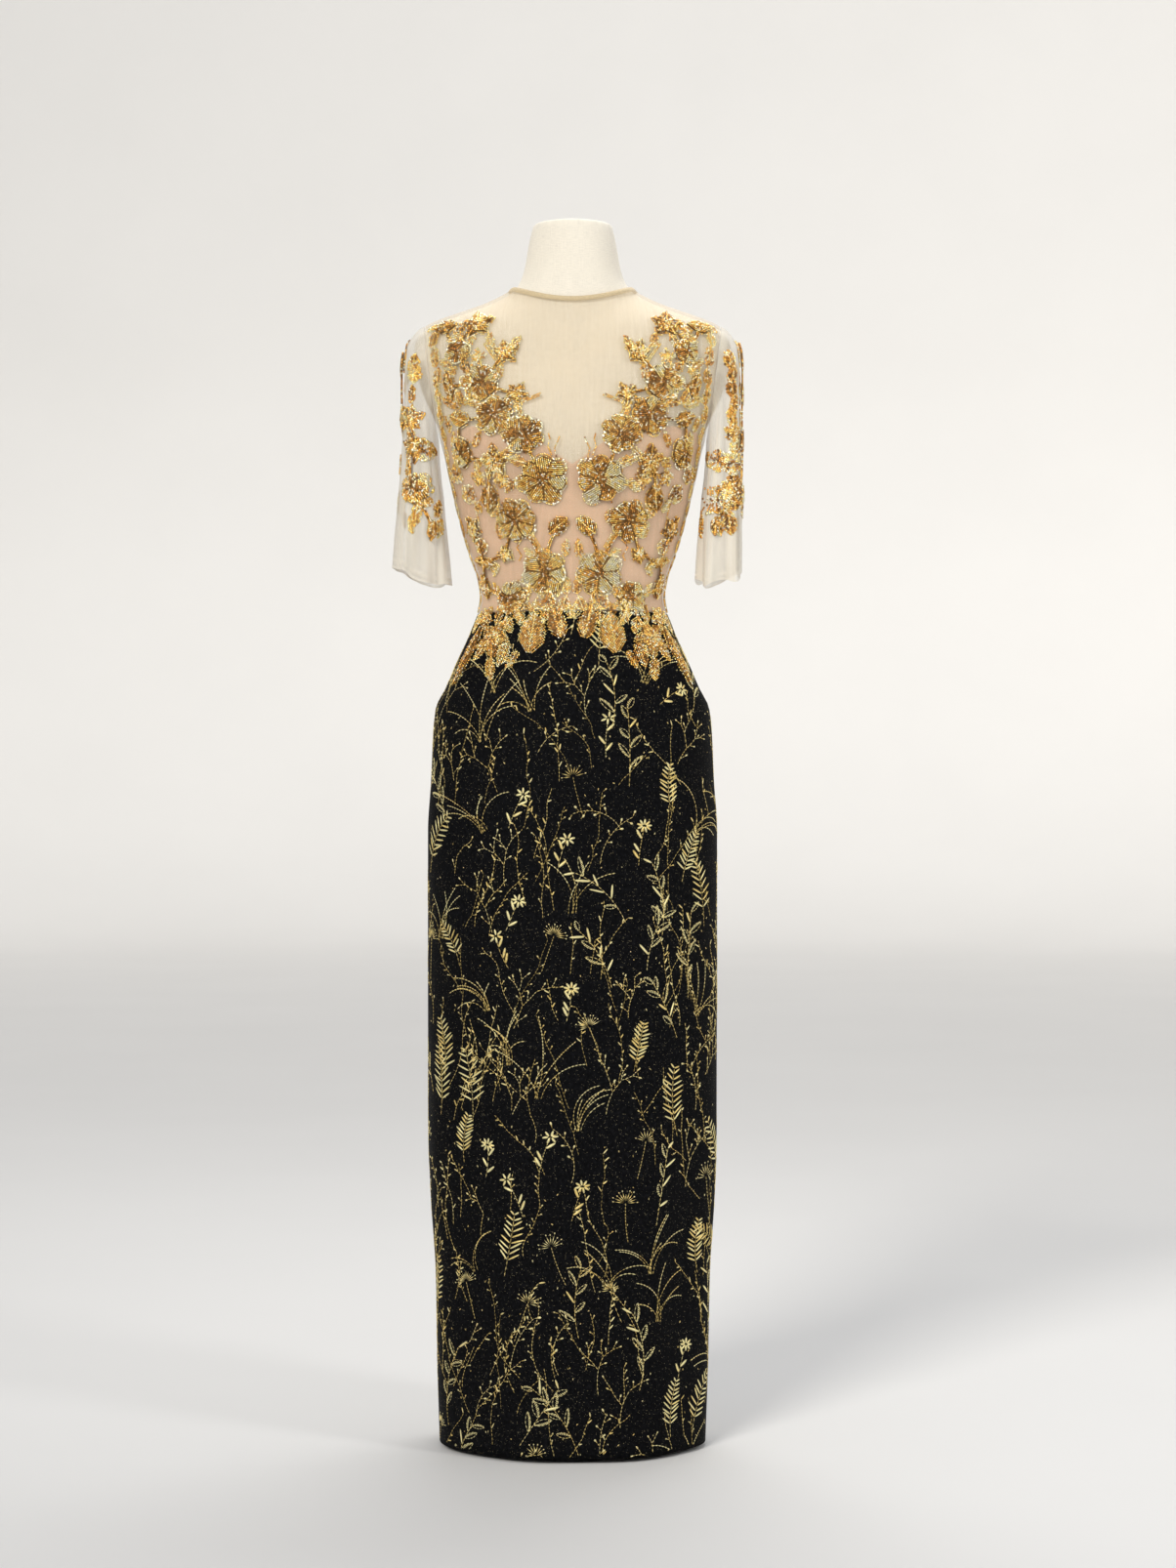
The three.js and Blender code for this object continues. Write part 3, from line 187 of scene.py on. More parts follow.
# A sleeve's rows from armhole to hem: outer x, z, inner x, z, and its depth to the front and back.
SLEEVES = {
    "left": [
        (191.5, 1442, 173, 1295, 52, 55),
        (206, 1433, 173, 1288, 51, 55),
        (213, 1417, 172.5, 1278, 50, 54),
        (216, 1390, 171.5, 1264, 49, 54),
        (216, 1350, 170, 1245, 49, 53),
        (217, 1305, 167.5, 1223, 48, 52),
        (218, 1255, 165.5, 1194, 47, 50),
        (219, 1205, 163, 1163, 46, 49),
        (219, 1160, 161.5, 1133, 45, 48),
        (218, 1120, 161, 1108, 44, 47),
    ],
    "right": [
        (191.5, 1442, 173, 1295, 52, 55),
        (206, 1433, 173, 1288, 51, 55),
        (213.5, 1418, 172.5, 1278, 50, 54),
        (216.5, 1392, 171.5, 1264, 50, 54),
        (217, 1350, 169.5, 1245, 49, 53),
        (218.5, 1305, 166.5, 1222, 49, 52),
        (221, 1258, 164, 1192, 48, 51),
        (224.5, 1210, 161, 1162, 47, 50),
        (228, 1168, 158.5, 1134, 46, 48),
        (230.5, 1124, 157, 1108, 45, 47),
    ],
}
SLEEVE_SQUARE = 2.6
# How far the weave runs round a quarter of the form, and round and along a sleeve from its hem.
FORM_QUARTER = 190
SLEEVE_ROUND = 330
SLEEVE_LONG = 320
SLEEVE_HEM = 1110

# Gathers round a sleeve: angle, lean, depth, width, drop of the hem there.
GATHERS = {
    "left": [
        (-148, 12, -6, 14, -3),
        (-104, -8, 5, 15, 4),
        (-58, 10, -6, 15, -4),
        (-20, 4, 4, 14, -7),
        (16, -4, -5, 13, 2),
        (52, 6, 5, 15, 8),
        (88, -8, -7, 13, 1),
        (120, 8, 5, 13, 6),
        (146, -4, -6, 11, -2),
        (172, -6, 4, 12, -7),
    ],
    "right": [
        (-152, 8, -5, 16, -2),
        (-96, -10, 6, 18, 5),
        (-40, 8, -6, 17, -3),
        (12, -4, 3, 18, -6),
        (50, 6, -5, 15, -4),
        (86, 6, 5, 16, 6),
        (122, -6, -6, 13, 4),
        (156, 4, 4, 13, 2),
    ],
}
# Finer creases of the net between the gathers: angle, lean, depth, width.
CREASES = {
    "left": [
        (30, 14, 1.6, 4),
        (70, -10, -1.5, 4),
        (104, 8, 1.8, 4.5),
        (134, -12, 1.4, 4),
        (2, 9, -1.4, 4),
        (-34, -12, 1.5, 5),
    ],
    "right": [
        (34, 18, 1.3, 5),
        (68, -9, -1.2, 5),
        (110, 16, 1.6, 4.5),
        (140, -9, 1.2, 5),
        (-8, 8, -1.2, 5),
        (-70, 12, 1.4, 6),
    ],
}
ARMHOLE_LOW = (171.5, 1290)
ARMHOLE_HIGH = (191, 1443)

# The lining's top edge: turn from centre front, height.
LINING_TOP = [
    (0, 1253), (0.08, 1264), (0.2, 1283), (0.4, 1298), (0.6, 1304),
    (0.8, 1299), (1, 1284), (1.3, 1280), (2, 1276),
]
# Cross folds of the lining: height, lean, depth.
LINING_FOLDS = [(1232, 16, 0.6), (1221, 26, 0.75), (1209, 10, 0.5), (1150, -14, 0.4), (1096, 8, 0.5)]
# Arcs that the net draws under the neckline: height, depth.
NECK_ARCS = [(1478, 0.35), (1470, 0.5), (1461, 0.3), (1446, 0.3)]
# Where the net ends under the neck binding, and where the form begins to round over at the neck's top.
NET_TOP = 1485.5
BINDING_BOTTOM = 1484.6
FORM_RIM = 1566
# Shares of the rim's size and the heights by which the neck's top closes.
FORM_CAP = [(0.975, 1571), (0.93, 1573.4), (0.8, 1575), (0.4, NECK_TOP - 0.3)]

# Motifs of one half of the front, then of the back.
# Name, kind, distance from the centre line, height, size, width or petals, angle.
SHOULDER = [
    ("a", "lobed", 120, 1436, 21, 5, 80),
    ("b", "leaf", 161, 1434, 34, 20, 170),
    ("d", "flower", 145, 1399, 17, 6, 10),
    ("e", "lobed", 84, 1397, 17, 5, 150),
    ("g", "flower", 115, 1358, 25, 7, 30),
    ("h", "leaf", 156, 1358, 38, 16, 75),
    ("i", "lobed", 70, 1342, 15, 5, 120),
]
SHOULDER_STEMS = [("a", "d", 3), ("b", "d", -2), ("e", "g", -2), ("d", "g", 4), ("h", "g", 4), ("i", "g", -2)]
BREAST = [
    ("a", "flower", 97, 1315, 26, 7, 0),
    ("b", "flower", 61, 1290, 25, 7, 20),
    ("c", "leaf", 143, 1314, 34, 19, 20),
    ("d", "flower", 140, 1271, 20, 6, 50),
    ("e", "lobed", 98, 1256, 21, 5, 90),
    ("f", "flower", 36, 1234, 31, 7, 12),
    ("h", "leaf", 104, 1214, 40, 24, 105),
]
BREAST_STEMS = [("a", "c", -3), ("c", "d", 4), ("e", "d", -2), ("b", "f", 2), ("e", "h", 3)]
WAIST = [
    ("a", "flower", 71, 1184, 27, 7, 40),
    ("b", "leaf", 17, 1177, 32, 20, 140),
    ("c", "lobed", 126, 1176, 17, 5, 60),
    ("d", "lobed", 84, 1142, 12, 5, 0),
    ("f", "leaf", 112, 1134, 42, 14, 12),
    ("g", "flower", 34, 1118, 29, 7, 8),
    ("h", "leaf", 110, 1104, 34, 19, 75),
    ("i", "flower", 75, 1088, 21, 6, 25),
    ("l", "leaf", 50, 1042, 54, 32, 97),
    ("m", "leaf", 20, 1056, 44, 21, 72),
    ("n", "lobed", 100, 1036, 24, 5, -100),
    ("p", "leaf", 134, 1014, 84, 17, -75),
]
WAIST_STEMS = [
    ("b", "g", 4), ("a", "d", 2), ("c", "f", -2), ("d", "f", -1), ("f", "h", 2), ("a", "g", -5),
    ("g", "m", 0), ("h", "i", 3), ("i", "l", 2), ("i", "n", -4), ("n", "p", 3),
]
YOKE_BACK = [
    ("a", "flower", 104, 1412, 22, 7, 15),
    ("b", "leaf", 146, 1426, 34, 19, 20),
    ("c", "lobed", 62, 1430, 17, 5, 120),
    ("d", "flower", 142, 1368, 20, 6, 40),
    ("e", "leaf", 104, 1358, 38, 19, 110),
]
YOKE_BACK_STEMS = [("a", "b", 3), ("a", "c", -3), ("a", "d", 4), ("d", "e", -3)]
WAIST_BACK = [
    ("a", "flower", 90, 1190, 23, 7, 0),
    ("b", "leaf", 122, 1222, 36, 19, 50),
    ("c", "lobed", 46, 1216, 17, 5, 130),
    ("e", "flower", 54, 1126, 24, 7, 30),
    ("f", "leaf", 94, 1106, 36, 17, -20),
    ("g", "leaf", 44, 1064, 50, 21, -80),
]
WAIST_BACK_STEMS = [("a", "b", 3), ("a", "c", -3), ("a", "e", 4), ("e", "f", -2), ("e", "g", 2)]

# On a sleeve a motif stands at a row of the sleeve's table and an angle from outside over the front.
SLEEVE_SPRAYS = {
    "left": [
        ("a", "leaf", 2.5, 8, 34, 17, -82),
        ("b", "leaf", 3.9, 16, 32, 16, -60),
        ("c", "lobed", 5.2, 26, 15, 5, 70),
        ("d", "flower", 6.4, 54, 18, 6, 0),
        ("e", "leaf", 6.9, 104, 24, 11, -95),
    ],
    "right": [
        ("a", "leaf", 3, 14, 32, 16, -80),
        ("b", "lobed", 4.5, 34, 15, 5, 70),
        ("c", "lobed", 4.9, 70, 15, 5, 10),
        ("d", "flower", 6.2, 76, 18, 6, 0),
        ("e", "leaf", 7, 106, 28, 14, -80),
    ],
}
SLEEVE_STEMS = [("a", "b", 3), ("b", "c", -3), ("c", "d", 3), ("d", "e", -3)]

# Small motifs that are beaded straight on the cloth.
# Kind, distance from the centre line, height, size, width or petals, angle.
SMALL_FRONT = {
    "shoulder": [
        ("leaf", 177, 1420, 26, 12, 98),
        ("leaf", 178, 1434, 18, 11, -40),
        ("leaf", 175, 1396, 28, 12, 84),
        ("leaf", 172, 1369, 26, 12, 100),
        ("leaf", 160, 1384, 24, 12, 40),
        ("leaf", 152, 1374, 18, 10, 120),
        ("leaf", 103, 1397, 30, 5, 55),
        ("leaf", 96, 1401, 26, 5, 50),
        ("leaf", 72, 1409, 22, 10, 125),
        ("leaf", 52, 1336, 28, 6, -24),
        ("leaf", 68, 1327, 17, 9, -80),
        ("leaf", 133, 1378, 24, 13, 30),
        ("lobed", 120, 1391, 11, 5, 90),
        ("leaf", 141, 1432, 26, 14, 120),
        ("leaf", 150, 1417, 22, 12, -20),
        ("leaf", 130, 1412, 20, 11, -60),
        ("leaf", 143, 1342, 24, 11, 60),
        ("leaf", 154, 1336, 34, 13, 22),
        ("leaf", 128, 1336, 24, 11, -20),
        ("leaf", 104, 1414, 22, 10, 75),
        ("leaf", 92, 1372, 22, 11, 100),
        ("flower", 134, 1360, 10, 5, 0),
    ],
    "breast": [
        ("leaf", 171, 1346, 26, 12, 84),
        ("leaf", 169, 1322, 26, 12, 98),
        ("leaf", 165, 1298, 26, 12, 84),
        ("leaf", 161, 1273, 26, 12, 98),
        ("leaf", 157, 1249, 26, 12, 84),
        ("leaf", 152, 1226, 24, 12, 98),
        ("leaf", 148, 1204, 24, 12, 84),
        ("leaf", 158, 1309, 22, 11, 70),
        ("leaf", 151, 1289, 20, 10, 110),
        ("flower", 148, 1246, 13, 6, 0),
        ("flower", 132, 1219, 13, 5, 20),
        ("leaf", 70, 1257, 26, 12, 20),
        ("leaf", 120, 1286, 22, 11, 120),
        ("lobed", 118, 1238, 12, 5, 20),
        ("leaf", 78, 1226, 24, 11, -40),
        ("lobed", 88, 1233, 11, 5, 0),
        ("leaf", 126, 1336, 24, 12, 40),
        ("leaf", 119, 1255, 20, 10, -30),
        ("leaf", 80, 1268, 20, 10, 140),
        ("leaf", 68, 1320, 20, 10, 60),
        ("leaf", 120, 1204, 20, 10, 60),
        ("leaf", 94, 1240, 22, 10, -70),
    ],
    "waist": [
        ("flower", 116, 1154, 11, 5, 0),
        ("flower", 34, 1083, 13, 5, 10),
        ("leaf", 11, 1079, 22, 12, 110),
        ("leaf", 7, 1103, 24, 11, 84),
        ("leaf", 8, 1149, 22, 10, 95),
        ("leaf", 46, 1158, 20, 6, 60),
        ("leaf", 54, 1144, 18, 9, 30),
        ("leaf", 142, 1181, 26, 12, 98),
        ("leaf", 136, 1159, 24, 12, 84),
        ("leaf", 129, 1137, 24, 12, 98),
        ("leaf", 121, 1113, 26, 12, 86),
        ("leaf", 98, 1124, 20, 10, -60),
        ("leaf", 119, 1086, 28, 13, 92),
        ("leaf", 92, 1068, 30, 14, -80),
        ("leaf", 122, 1058, 32, 13, -78),
        ("lobed", 110, 1064, 15, 5, -90),
        ("leaf", 66, 1064, 26, 13, -100),
        ("leaf", 80, 1052, 24, 12, -110),
        ("leaf", 35, 1065, 22, 11, -95),
        ("leaf", 92, 1172, 22, 11, 70),
        ("leaf", 98, 1198, 22, 11, 130),
        ("leaf", 56, 1096, 20, 10, 110),
        ("leaf", 88, 1014, 34, 15, -75),
        ("leaf", 104, 996, 32, 14, -100),
        ("leaf", 76, 1008, 26, 11, -60),
        ("leaf", 118, 1018, 26, 12, -60),
        ("leaf", 96, 1098, 22, 10, 60),
        ("leaf", 3, 1070, 22, 9, 84),
        ("leaf", 24, 1074, 24, 12, 70),
        ("leaf", 48, 1072, 24, 12, 100),
        ("leaf", 71, 1072, 22, 11, 80),
        ("leaf", 14, 1048, 20, 9, -84),
        ("leaf", 60, 1078, 20, 10, 30),
    ],
}
# Beaded motifs on the sleeves' fronts, in the same words.
SMALL_SLEEVE = {
    "left": [
        ("leaf", 201, 1394, 26, 15, 100),
        ("leaf", 205, 1376, 24, 14, 70),
        ("leaf", 204, 1358, 26, 15, 98),
        ("leaf", 208, 1340, 24, 13, 80),
        ("leaf", 204, 1322, 26, 14, 100),
        ("lobed", 206, 1302, 13, 5, 90),
        ("leaf", 208, 1284, 24, 13, 84),
        ("flower", 205, 1262, 15, 6, 0),
        ("flower", 186, 1264, 13, 6, 0),
        ("leaf", 174, 1272, 18, 10, 30),
        ("leaf", 206, 1240, 28, 16, 80),
        ("leaf", 197, 1228, 24, 13, 110),
        ("flower", 184, 1214, 19, 7, 0),
        ("leaf", 207, 1214, 26, 14, 98),
        ("leaf", 201, 1184, 32, 15, -84),
        ("leaf", 186, 1180, 26, 12, -70),
        ("leaf", 166, 1182, 32, 10, -86),
    ],
    "right": [
        ("leaf", 203, 1388, 28, 16, 100),
        ("lobed", 202, 1375, 12, 5, 60),
        ("leaf", 205, 1350, 24, 11, 92),
        ("lobed", 204, 1318, 15, 5, 90),
        ("leaf", 207, 1300, 26, 14, 80),
        ("leaf", 206, 1272, 28, 16, 84),
        ("flower", 190, 1277, 14, 6, 0),
        ("leaf", 178, 1277, 18, 10, 10),
        ("leaf", 209, 1252, 22, 12, 70),
        ("flower", 199, 1228, 21, 7, 0),
        ("leaf", 199, 1196, 34, 12, -84),
        ("leaf", 206, 1182, 24, 11, -100),
        ("leaf", 173, 1203, 22, 12, 100),
        ("leaf", 171, 1178, 26, 12, -84),
        ("leaf", 186, 1210, 18, 9, -30),
    ],
}
# Motifs on the outer side of either sleeve: kind, row of the sleeve's table, angle, size, width, angle.
SIDE_SLEEVE = [
    ("leaf", 2.2, 2, 26, 14, 95),
    ("lobed", 3.0, -26, 14, 5, 40),
    ("leaf", 3.5, -8, 28, 14, 70),
    ("flower", 4.7, -4, 18, 6, 0),
    ("leaf", 5.3, -30, 26, 13, 60),
    ("leaf", 5.9, 4, 26, 14, 100),
    ("flower", 6.9, -10, 15, 6, 20),
    ("leaf", 7.3, -34, 24, 12, -70),
]
# Tendrils on the net: points as distance from the centre line and height.
TENDRILS = [
    [(20, 1262), (22, 1272), (18, 1280), (15, 1288)],
    [(26, 1264), (30, 1274), (28, 1284), (30, 1292)],
    [(116, 1212), (124, 1204), (120, 1190), (126, 1184)],
    [(50, 1206), (48, 1214), (42, 1220), (36, 1218)],
    [(64, 1160), (70, 1150), (64, 1140), (68, 1132)],
]

# Level of the zip's pull and how far it hangs off the form.
PULL_LEVEL = 1480
PULL_OUT = 4.6

# The camera's place in metres, the photo's focal length and long side in pixels, the sensor in millimetres.
CAMERA_AT = (0.020, -3.600, 0.851)
PHOTO_FOCAL = 2848
PHOTO_LONG = 1606
SENSOR = 36

# The round studio and its lights, in metres: where each stands, what it points at, its size.
STUDIO_RADIUS = 14
STUDIO_HEIGHT = 6.6
STUDIO_BEND = 3.5
KEY_LIGHT = (-1.5, -2.7, 2.7), (0, 0, 0.95)
KEY_SPREAD = 20
SIDE_LIGHT = (2.4, -1.6, 1.9), (0, 0, 0.8), (0.5, 1.4)
TOP_LIGHT = (0.2, 0.9, 3.2), (0, 0.1, 1.2), (1.4, 0.8)


# Figure: sections, outlines and the cloth's faces.


def mean_slope(a, b):
    """The tangent between two chords, flat where they turn back."""
    return 0 if a * b <= 0 else 2 * a * b / (a + b)


@functools.lru_cache(maxsize=None)
def section(kind, z):
    rows = SECTIONS[kind]
    if z <= rows[0][0]:
        return rows[0][1:]
    if z >= rows[-1][0]:
        return rows[-1][1:]
    i = bisect.bisect_left([r[0] for r in rows], z) - 1
    low, high = rows[i], rows[i + 1]
    span = high[0] - low[0]
    t = (z - low[0]) / span
    values = []
    for k in range(1, 6):
        chord = (high[k] - low[k]) / span
        before = (low[k] - rows[i - 1][k]) / (low[0] - rows[i - 1][0]) if i > 0 else chord
        after = (rows[i + 2][k] - high[k]) / (rows[i + 2][0] - high[0]) if i + 2 < len(rows) else chord
        start, end = mean_slope(before, chord), mean_slope(chord, after)
        values.append(
            (2 * t**3 - 3 * t**2 + 1) * low[k]
            + (t**3 - 2 * t**2 + t) * span * start
            + (3 * t**2 - 2 * t**3) * high[k]
            + (t**3 - t**2) * span * end
        )
    return tuple(values)


@functools.lru_cache(maxsize=None)
def quarter(kind, z, in_front):
    """A quarter of the outline at a height, from the centre line to the side, with its running length."""
    wide, front, back, square, dip = section(kind, z)
    depth = front if in_front else back
    power = 2 / square
    xs, ys, runs = [], [], []
    for i in range(QUARTER_STEPS + 1):
        angle = math.pi / 2 * i / QUARTER_STEPS
        x = wide * math.sin(angle) ** power
        y = depth * max(0.0, math.cos(angle)) ** power
        runs.append(runs[-1] + math.hypot(x - xs[-1], y - ys[-1]) if xs else 0.0)
        xs.append(x)
        ys.append(y)
    return xs, ys, runs, depth, dip


def outline_point(kind, z, turn):
    """A point of the outline and how far it faces front.

    A turn is 0 at centre front, 1 at the side and 2 at centre back, less than 0 on the wearer's right.
    """
    in_front = abs(turn) <= 1
    xs, ys, runs, depth, dip = quarter(kind, round(z, 3), in_front)
    share = abs(turn) if in_front else 2 - abs(turn)
    run = min(1.0, max(0.0, share)) * runs[-1]
    i = min(QUARTER_STEPS - 1, max(0, bisect.bisect_left(runs, run) - 1))
    t = (run - runs[i]) / (runs[i + 1] - runs[i])
    x = xs[i] + (xs[i + 1] - xs[i]) * t
    y = ys[i] + (ys[i + 1] - ys[i]) * t
    facing = y / depth if in_front else 0.0
    return (-x if turn < 0 else x), (-y if in_front else y), z - dip * facing * facing, facing


def bell(x, spread):
    return math.exp(-x * x / (2 * spread * spread))


def form_point(z, turn):
    x, y, z, facing = outline_point("form", z, turn)
    across = bell(x - CUP_APART, CUP_ACROSS) + bell(x + CUP_APART, CUP_ACROSS)
    cup = CUP_DEPTH * across * bell(z - BUST, CUP_UP) * math.sqrt(max(0.0, facing))
    return Vector((x, y - cup, z))


def skirt_fold(z, turn):
    total = 0.0
    for at, drift, depth, width, bottom, top in SKIRT_FOLDS:
        t = (z - (top + bottom) / 2) / ((top - bottom) / 2)
        if abs(t) < 1:
            apart = abs(turn - at - drift * t)
            total += depth * (1 - t * t) ** 1.5 * bell(min(apart, 4 - apart), width)
    return total


def skirt_point(z, turn):
    x, y, z, _ = outline_point("skirt", z, turn)
    out = 1 + skirt_fold(z, turn) / math.hypot(x, y)
    return Vector((x * out, y * out, z))


def normal_of(surface, u, v, steps):
    step_u, step_v = steps
    along = surface(u, v + step_v) - surface(u, v - step_v)
    up = surface(u + step_u, v) - surface(u - step_u, v)
    return along.cross(up).normalized()


def over_form(z, turn, out):
    return form_point(z, turn) + normal_of(form_point, z, turn, FORM_STEPS) * out


def gown_point(z, turn):
    return over_form(z, turn, TULLE_OUT) if z >= WAIST_SEAM else skirt_point(z, turn)


def armhole_x(z):
    (low_x, low_z), (high_x, high_z) = ARMHOLE_LOW, ARMHOLE_HIGH
    return low_x + (z - low_z) / (high_z - low_z) * (high_x - low_x)


@functools.lru_cache(maxsize=None)
def armhole_turn(z, in_front, gap):
    """The turn at which the armhole cuts the net at a height, or 1 where the side isn't cut."""
    def past(share):
        p = over_form(z, share if in_front else 2 - share, TULLE_OUT)
        return p.x - armhole_x(p.z) - gap

    if past(1) <= 0:
        return 1
    low, high = 0.0, 1.0
    for _ in range(22):
        middle = (low + high) / 2
        if past(middle) > 0:
            high = middle
        else:
            low = middle
    return low if in_front else 2 - low


def armhole_ends(gap):
    """The lowest and the highest level that the armhole cuts."""
    def edge(inside, outside):
        for _ in range(30):
            middle = (inside + outside) / 2
            if over_form(middle, 1, TULLE_OUT).x - armhole_x(middle) - gap > 0:
                inside = middle
            else:
                outside = middle
        return inside

    middle = (ARMHOLE_LOW[1] + ARMHOLE_HIGH[1]) / 2
    return edge(middle, BUST), edge(middle, NECKLINE - 10)


ARM_LOW, ARM_HIGH = armhole_ends(0)


def turn_by(kind, z, turn, distance):
    """The turn at a distance along the cloth from another turn."""
    return turn + distance / quarter(kind, round(z, 3), abs(turn) < 1)[2][-1]


@functools.lru_cache(maxsize=None)
def armhole_point(angle):
    """The sleeve's seam on the armhole, at an angle from the top over the front."""
    level = (ARM_LOW + ARM_HIGH) / 2 + (ARM_HIGH - ARM_LOW) / 2 * math.cos(angle)
    p = over_form(level, armhole_turn(round(level, 2), math.sin(angle) >= 0, 0), TULLE_OUT)
    p.x = armhole_x(p.z) + 3 * SEAM
    return p.freeze()


def rounded(value):
    return math.copysign(abs(value) ** (2 / SLEEVE_SQUARE), value)


def sleeve_surface(side, creased=False):
    """The sleeve's outer face: row counts down its table, angle goes round from outside over the front."""
    rows = SLEEVES[side]
    last = len(rows) - 1
    sign = 1 if side == "left" else -1

    def surface(row, angle):
        row = min(last, max(0.0, row))
        angle = sign * angle
        i = min(last - 1, int(row))
        out_x, out_z, in_x, in_z, front, back = (
            a + (b - a) * (row - i) for a, b in zip(rows[i], rows[i + 1])
        )
        reach_x, reach_z = (out_x - in_x) / 2, (out_z - in_z) / 2
        depth = front if math.sin(angle) > 0 else back
        p = Vector((
            (out_x + in_x) / 2 + reach_x * rounded(math.cos(angle)),
            -depth * rounded(math.sin(angle)),
            (out_z + in_z) / 2 + reach_z * rounded(math.cos(angle)),
        ))
        grown = max(0.0, (row - 1.5) / (last - 1.5))
        out = drop = 0.0
        degrees = math.degrees(angle)
        for at, lean, deep, width, down in GATHERS[side]:
            apart = degrees - at - lean * (grown - 0.5)
            apart -= 360 * round(apart / 360)
            out += deep * grown**1.8 * bell(apart, width)
            drop += down * grown**3 * bell(apart, width)
        if creased:
            for at, lean, deep, width in CREASES[side]:
                apart = degrees - at - lean * (grown - 0.5)
                apart -= 360 * round(apart / 360)
                out += deep * grown**0.8 * min(1, row / 1.5) * bell(apart, width)
        away = Vector((math.cos(angle) * max(20, reach_x), -math.sin(angle) * depth)).normalized()
        p.x += away.x * out
        p.y += away.y * out
        p.z -= drop
        joined = max(0.0, 1 - row / 2)
        p = p.lerp(armhole_point(round(angle, 6)), joined * joined * (3 - 2 * joined))
        p.x *= sign
        return p

    return surface


# Node trees.


class Finish:
    """A procedural material under construction."""

    def __init__(self, name, **sockets):
        self.material = bpy.data.materials.new(name)
        self.material.use_nodes = True
        self.tree = self.material.node_tree
        self.shader = self.tree.nodes["Principled BSDF"]
        for key, value in sockets.items():
            self.shader.inputs[key.replace("_", " ")].default_value = value

    def node(self, kind, vector=None, **settings):
        made = self.tree.nodes.new("ShaderNode" + kind)
        if vector is not None:
            self.tree.links.new(vector, made.inputs["Vector"])
        for key, value in settings.items():
            if key in made.inputs:
                made.inputs[key].default_value = value
            else:
                setattr(made, key, value)
        return made

    def link(self, source, target):
        self.tree.links.new(source, target)

    def cloth_place(self):
        """The piece's own UV map, in metres along the cloth."""
        return self.node("UVMap", uv_map="UVMap").outputs["UV"]

    def object_place(self):
        return self.node("TexCoord").outputs["Object"]

    def scaled(self, place, scale):
        return self.node("Mapping", place, Scale=scale).outputs["Vector"]

    def math(self, operation, a, b=0.0):
        made = self.node("Math", operation=operation)
        for i, value in enumerate((a, b)):
            if isinstance(value, (int, float)):
                made.inputs[i].default_value = value
            else:
                self.link(value, made.inputs[i])
        return made.outputs[0]

    def weighted(self, *parts):
        """The sum of several values, each taken with its weight."""
        total = None
        for value, weight in parts:
            term = value if weight == 1 else self.math("MULTIPLY", value, weight)
            total = term if total is None else self.math("ADD", total, term)
        return total

    def mixed(self, factor, first, second):
        """The first colour where the factor is 0, the second where it is 1."""
        made = self.node("MixRGB", blend_type="MIX")
        self.link(factor, made.inputs["Fac"])
        for source, key in ((first, "Color1"), (second, "Color2")):
            if isinstance(source, tuple):
                made.inputs[key].default_value = source
            else:
                self.link(source, made.inputs[key])
        return made.outputs[0]

    def tone(self):
        """The tone that each bead or woven thread carries; for beads it takes in the painted glints."""
        return self.node("Attribute", attribute_name="tone").outputs["Fac"]

    def cloud(self, place, scale, detail=2.0, roughness=0.5):
        made = self.node("TexNoise", place, Scale=scale, Detail=detail, Roughness=roughness)
        return made.outputs["Fac"]

    def ramp(self, factor, *stops):
        made = self.node("ValToRGB")
        ramp = made.color_ramp
        while len(ramp.elements) < len(stops):
            ramp.elements.new(0.5)
        for element, (at, colour) in zip(ramp.elements, stops):
            element.position = at
            element.color = (*colour, 1) if len(colour) == 3 else colour
        self.link(factor, made.inputs["Fac"])
        return made.outputs["Color"]

    def span(self, factor, low, high, start=0.0, end=1.0):
        made = self.node("MapRange")
        for key, value in (("From Min", start), ("From Max", end), ("To Min", low), ("To Max", high)):
            made.inputs[key].default_value = value
        self.link(factor, made.inputs["Value"])
        return made.outputs["Result"]

    def colour(self, source):
        self.link(source, self.shader.inputs["Base Color"])

    def roughness(self, source):
        self.link(source, self.shader.inputs["Roughness"])

    def bump(self, height, distance, strength=1.0):
        made = self.node("Bump", Strength=strength, Distance=distance)
        self.link(height, made.inputs["Height"])
        self.link(made.outputs["Normal"], self.shader.inputs["Normal"])

    def threads(self, place, pitch_u, pitch_v):
        """Plain weave: threads over and under at these pitches, in metres."""
        parts = self.node("SeparateXYZ")
        self.link(place, parts.inputs[0])
        u = self.math("SINE", self.math("MULTIPLY", parts.outputs[0], 2 * math.pi / pitch_u))
        v = self.math("SINE", self.math("MULTIPLY", parts.outputs[1], 2 * math.pi / pitch_v))
        return self.math("MULTIPLY", u, v)


def tint(colour, factor):
    return tuple(min(1.0, c * factor) for c in colour[:3])


@functools.lru_cache(maxsize=None)
def linen_finish():
    colour = bpy.context.scene.gown_form.linen
    f = Finish("cream_linen", Roughness=0.85, Sheen_Weight=0.15, Sheen_Roughness=0.5)
    place = f.cloth_place()
    slubs = f.cloud(f.scaled(place, (60, 1300, 1)), 1.0, 3)
    drops = f.cloud(f.scaled(place, (1300, 60, 1)), 1.0, 3)
    weave = f.threads(place, 0.0011, 0.0011)
    height = f.weighted((slubs, 0.5), (drops, 0.5), (weave, 0.12))
    patches = f.cloud(place, 9, 2)
    f.colour(f.ramp(
        f.weighted((height, 0.8), (patches, 0.2)),
        (0.3, tint(colour, 0.80)), (0.5, colour[:3]), (0.7, tint(colour, 1.08)),
    ))
    f.bump(height, 0.0006, 0.5)
    return f.material


